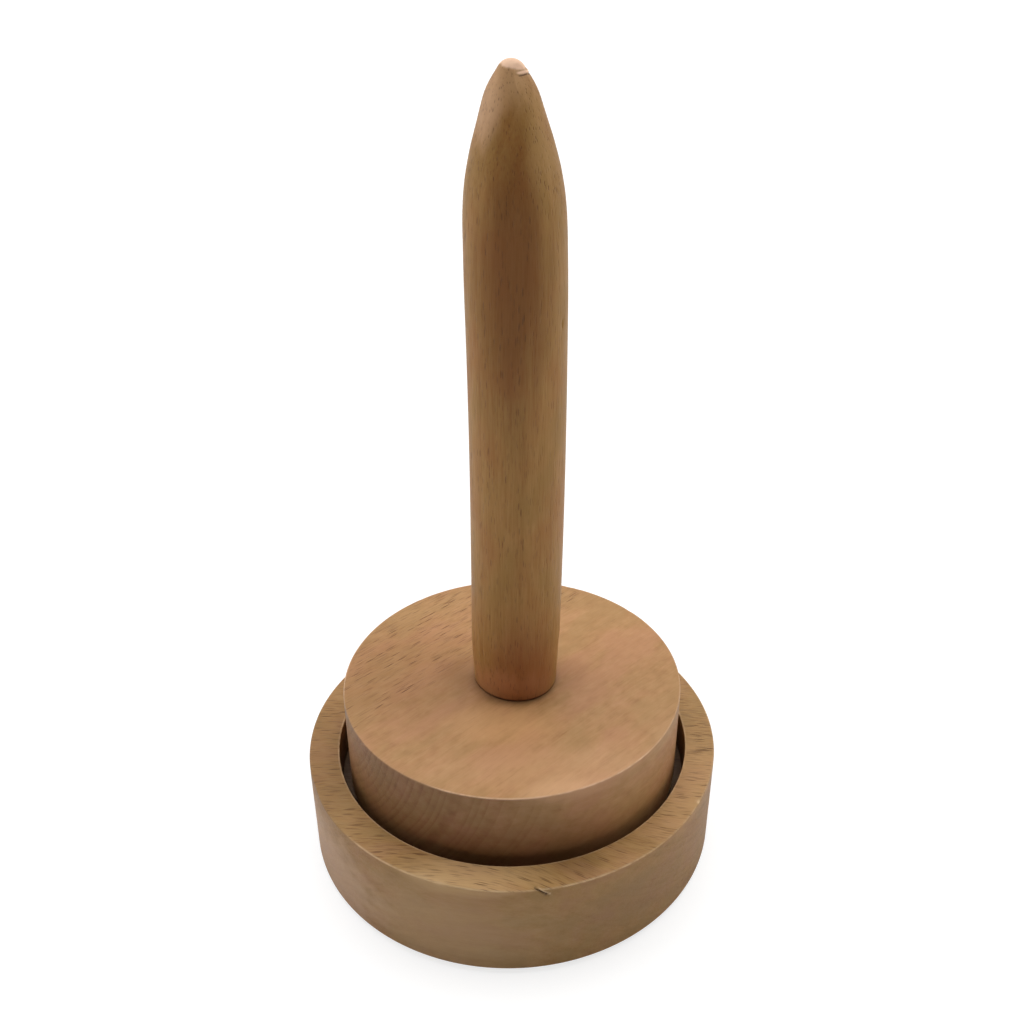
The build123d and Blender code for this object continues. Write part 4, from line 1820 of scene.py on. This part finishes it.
@dataclass(frozen=True)
class Studio:
    """The white studio: floor, sky, lamp and the camera at the photograph's place."""

    eye: Triple = (0.0, -0.27851, 0.28732)
    yaw: float = 0.069
    pitch: float = 0.581
    roll: float = 0.031
    focal_pixels: float = 1241.67
    centre_pixels: Pair = (583.83, 535.27)
    frame_pixels: float = 1024.0
    sensor: float = 36.0
    floor_half: float = 4.0
    floor_grey: float = 0.9
    floor_seen_grey: float = 0.36
    floor_glow: float = 0.76
    overhead: Colour = (3.1, 3.1, 3.1)
    overhead_axis: Triple = (0.0, 0.24, 0.97)
    left: Colour = (1.4, 1.4, 1.42)
    right: Colour = (1.25, 1.24, 1.2)
    front: Colour = (0.025, 0.02, 0.018)
    back: Colour = (0.6, 0.6, 0.6)
    lamp_power: float = 0.3
    lamp_size: float = 0.5
    lamp_place: Triple = (0.18, 0.3, 0.75)
    lamp_aim: Triple = (0.0, 0.0, 0.08)

    def build(self) -> None:
        """Set up the studio."""
        self.build_floor()
        self.build_sky()
        self.build_lamp()
        self.build_camera()
        bpy.context.scene.view_settings.view_transform = "Standard"

    def build_floor(self) -> None:
        """Lay the floor: a flat square that looks white to the camera but for the object's shadow."""
        side = np.linspace(-self.floor_half, self.floor_half, 9)
        x, y = np.meshgrid(side, side)
        index = np.arange(x.size).reshape(x.shape)
        faces = np.stack((index[:-1, :-1], index[:-1, 1:], index[1:, 1:], index[1:, :-1]), -1).reshape(-1, 4)
        mesh = bpy.data.meshes.new("studio_floor")
        mesh.from_pydata(np.stack((x, y, np.zeros_like(x)), -1).reshape(-1, 3).tolist(), [], faces.tolist())
        floor = bpy.data.objects.new("studio_floor", mesh)
        bpy.context.scene.collection.objects.link(floor)
        material, board, shader = new_material("studio_paper")
        board.tree.nodes.remove(shader)
        output = board.tree.nodes["Material Output"]
        seen = board.seen()
        grey = board.step(seen, 0.0, 1.0, (self.floor_grey, self.floor_seen_grey))
        paper = board.node("ShaderNodeBsdfDiffuse", {"Color": grey})
        glow = board.node("ShaderNodeEmission", {"Color": (1.0, 1.0, 1.0, 1.0), "Strength": self.floor_glow})
        lit = board.node("ShaderNodeAddShader", {0: paper.outputs[0], 1: glow.outputs[0]})
        mixed = board.node("ShaderNodeMixShader", {0: seen, 1: paper.outputs[0], 2: lit.outputs[0]})
        board.tree.links.new(mixed.outputs[0], output.inputs["Surface"])
        dress(floor, material)

    def build_sky(self) -> None:
        """Light the scene most from above, less from the sides and hardly from the front, and look white."""
        world = bpy.data.worlds.new("studio_sky")
        bpy.context.scene.world = world
        world.use_nodes = True
        board = Board(world.node_tree)
        shader = world.node_tree.nodes["Background"]
        direction = board.node("ShaderNodeTexCoord").outputs["Generated"]
        side = board.dot(direction, (-1, 0, 0))
        back = board.dot(direction, (0, 1, 0))
        up = board.dot(direction, self.overhead_axis)
        colour = board.blend(board.step(side, -0.5, 0.5), self.right, self.left)
        colour = board.blend(board.step(back, 0.05, -0.4), colour, self.front)
        colour = board.blend(board.step(back, 0.3, 0.9), colour, self.back)
        colour = board.blend(board.step(up, 0.8, 1.0), colour, self.overhead)
        seen = board.seen()
        board.tree.links.new(board.blend(seen, colour, (1.0, 1.0, 1.0)), shader.inputs["Color"])

    def build_lamp(self) -> None:
        """Hang a soft lamp above and behind the object, pointing at it."""
        light = bpy.data.lights.new("soft_box", "AREA")
        light.shape, light.size, light.energy = "DISK", self.lamp_size, self.lamp_power
        lamp = bpy.data.objects.new("soft_box", light)
        lamp.location = self.lamp_place
        aim = Vector(self.lamp_aim) - Vector(self.lamp_place)
        lamp.rotation_euler = aim.to_track_quat("-Z", "Y").to_euler()
        bpy.context.scene.collection.objects.link(lamp)

    def build_camera(self) -> None:
        """Place the camera, turned by yaw, pitch and roll and centred as in the photograph."""
        level = cos(self.pitch)
        forward = Vector((sin(self.yaw) * level, cos(self.yaw) * level, -sin(self.pitch)))
        right = Vector((cos(self.yaw), -sin(self.yaw), 0.0))
        up = right.cross(forward)
        rolled_right = cos(self.roll) * right + sin(self.roll) * up
        rolled_up = cos(self.roll) * up - sin(self.roll) * right
        camera = bpy.data.cameras.new("photo_camera")
        camera.sensor_width = self.sensor
        camera.lens = self.sensor * self.focal_pixels / self.frame_pixels
        camera.shift_x = 0.5 - self.centre_pixels[0] / self.frame_pixels
        camera.shift_y = self.centre_pixels[1] / self.frame_pixels - 0.5
        camera.clip_start = 0.01
        holder = bpy.data.objects.new("photo_camera", camera)
        turn = Matrix((rolled_right, rolled_up, -forward)).transposed().to_4x4()
        holder.matrix_world = Matrix.Translation(self.eye) @ turn
        bpy.context.scene.collection.objects.link(holder)
        bpy.context.scene.camera = holder


def main() -> None:
    """Build the holder from the bowl up, then the studio round it."""
    logging.basicConfig(level=logging.INFO, format="%(message)s")
    Studio().build()
    for assembly in (Bowl(), Pads(), Bearing(), Fasteners(), Turntable(), Spindle()):
        log.info("building the %s", type(assembly).__name__.lower())
        assembly.build()


if __name__ == "__main__":
    main()
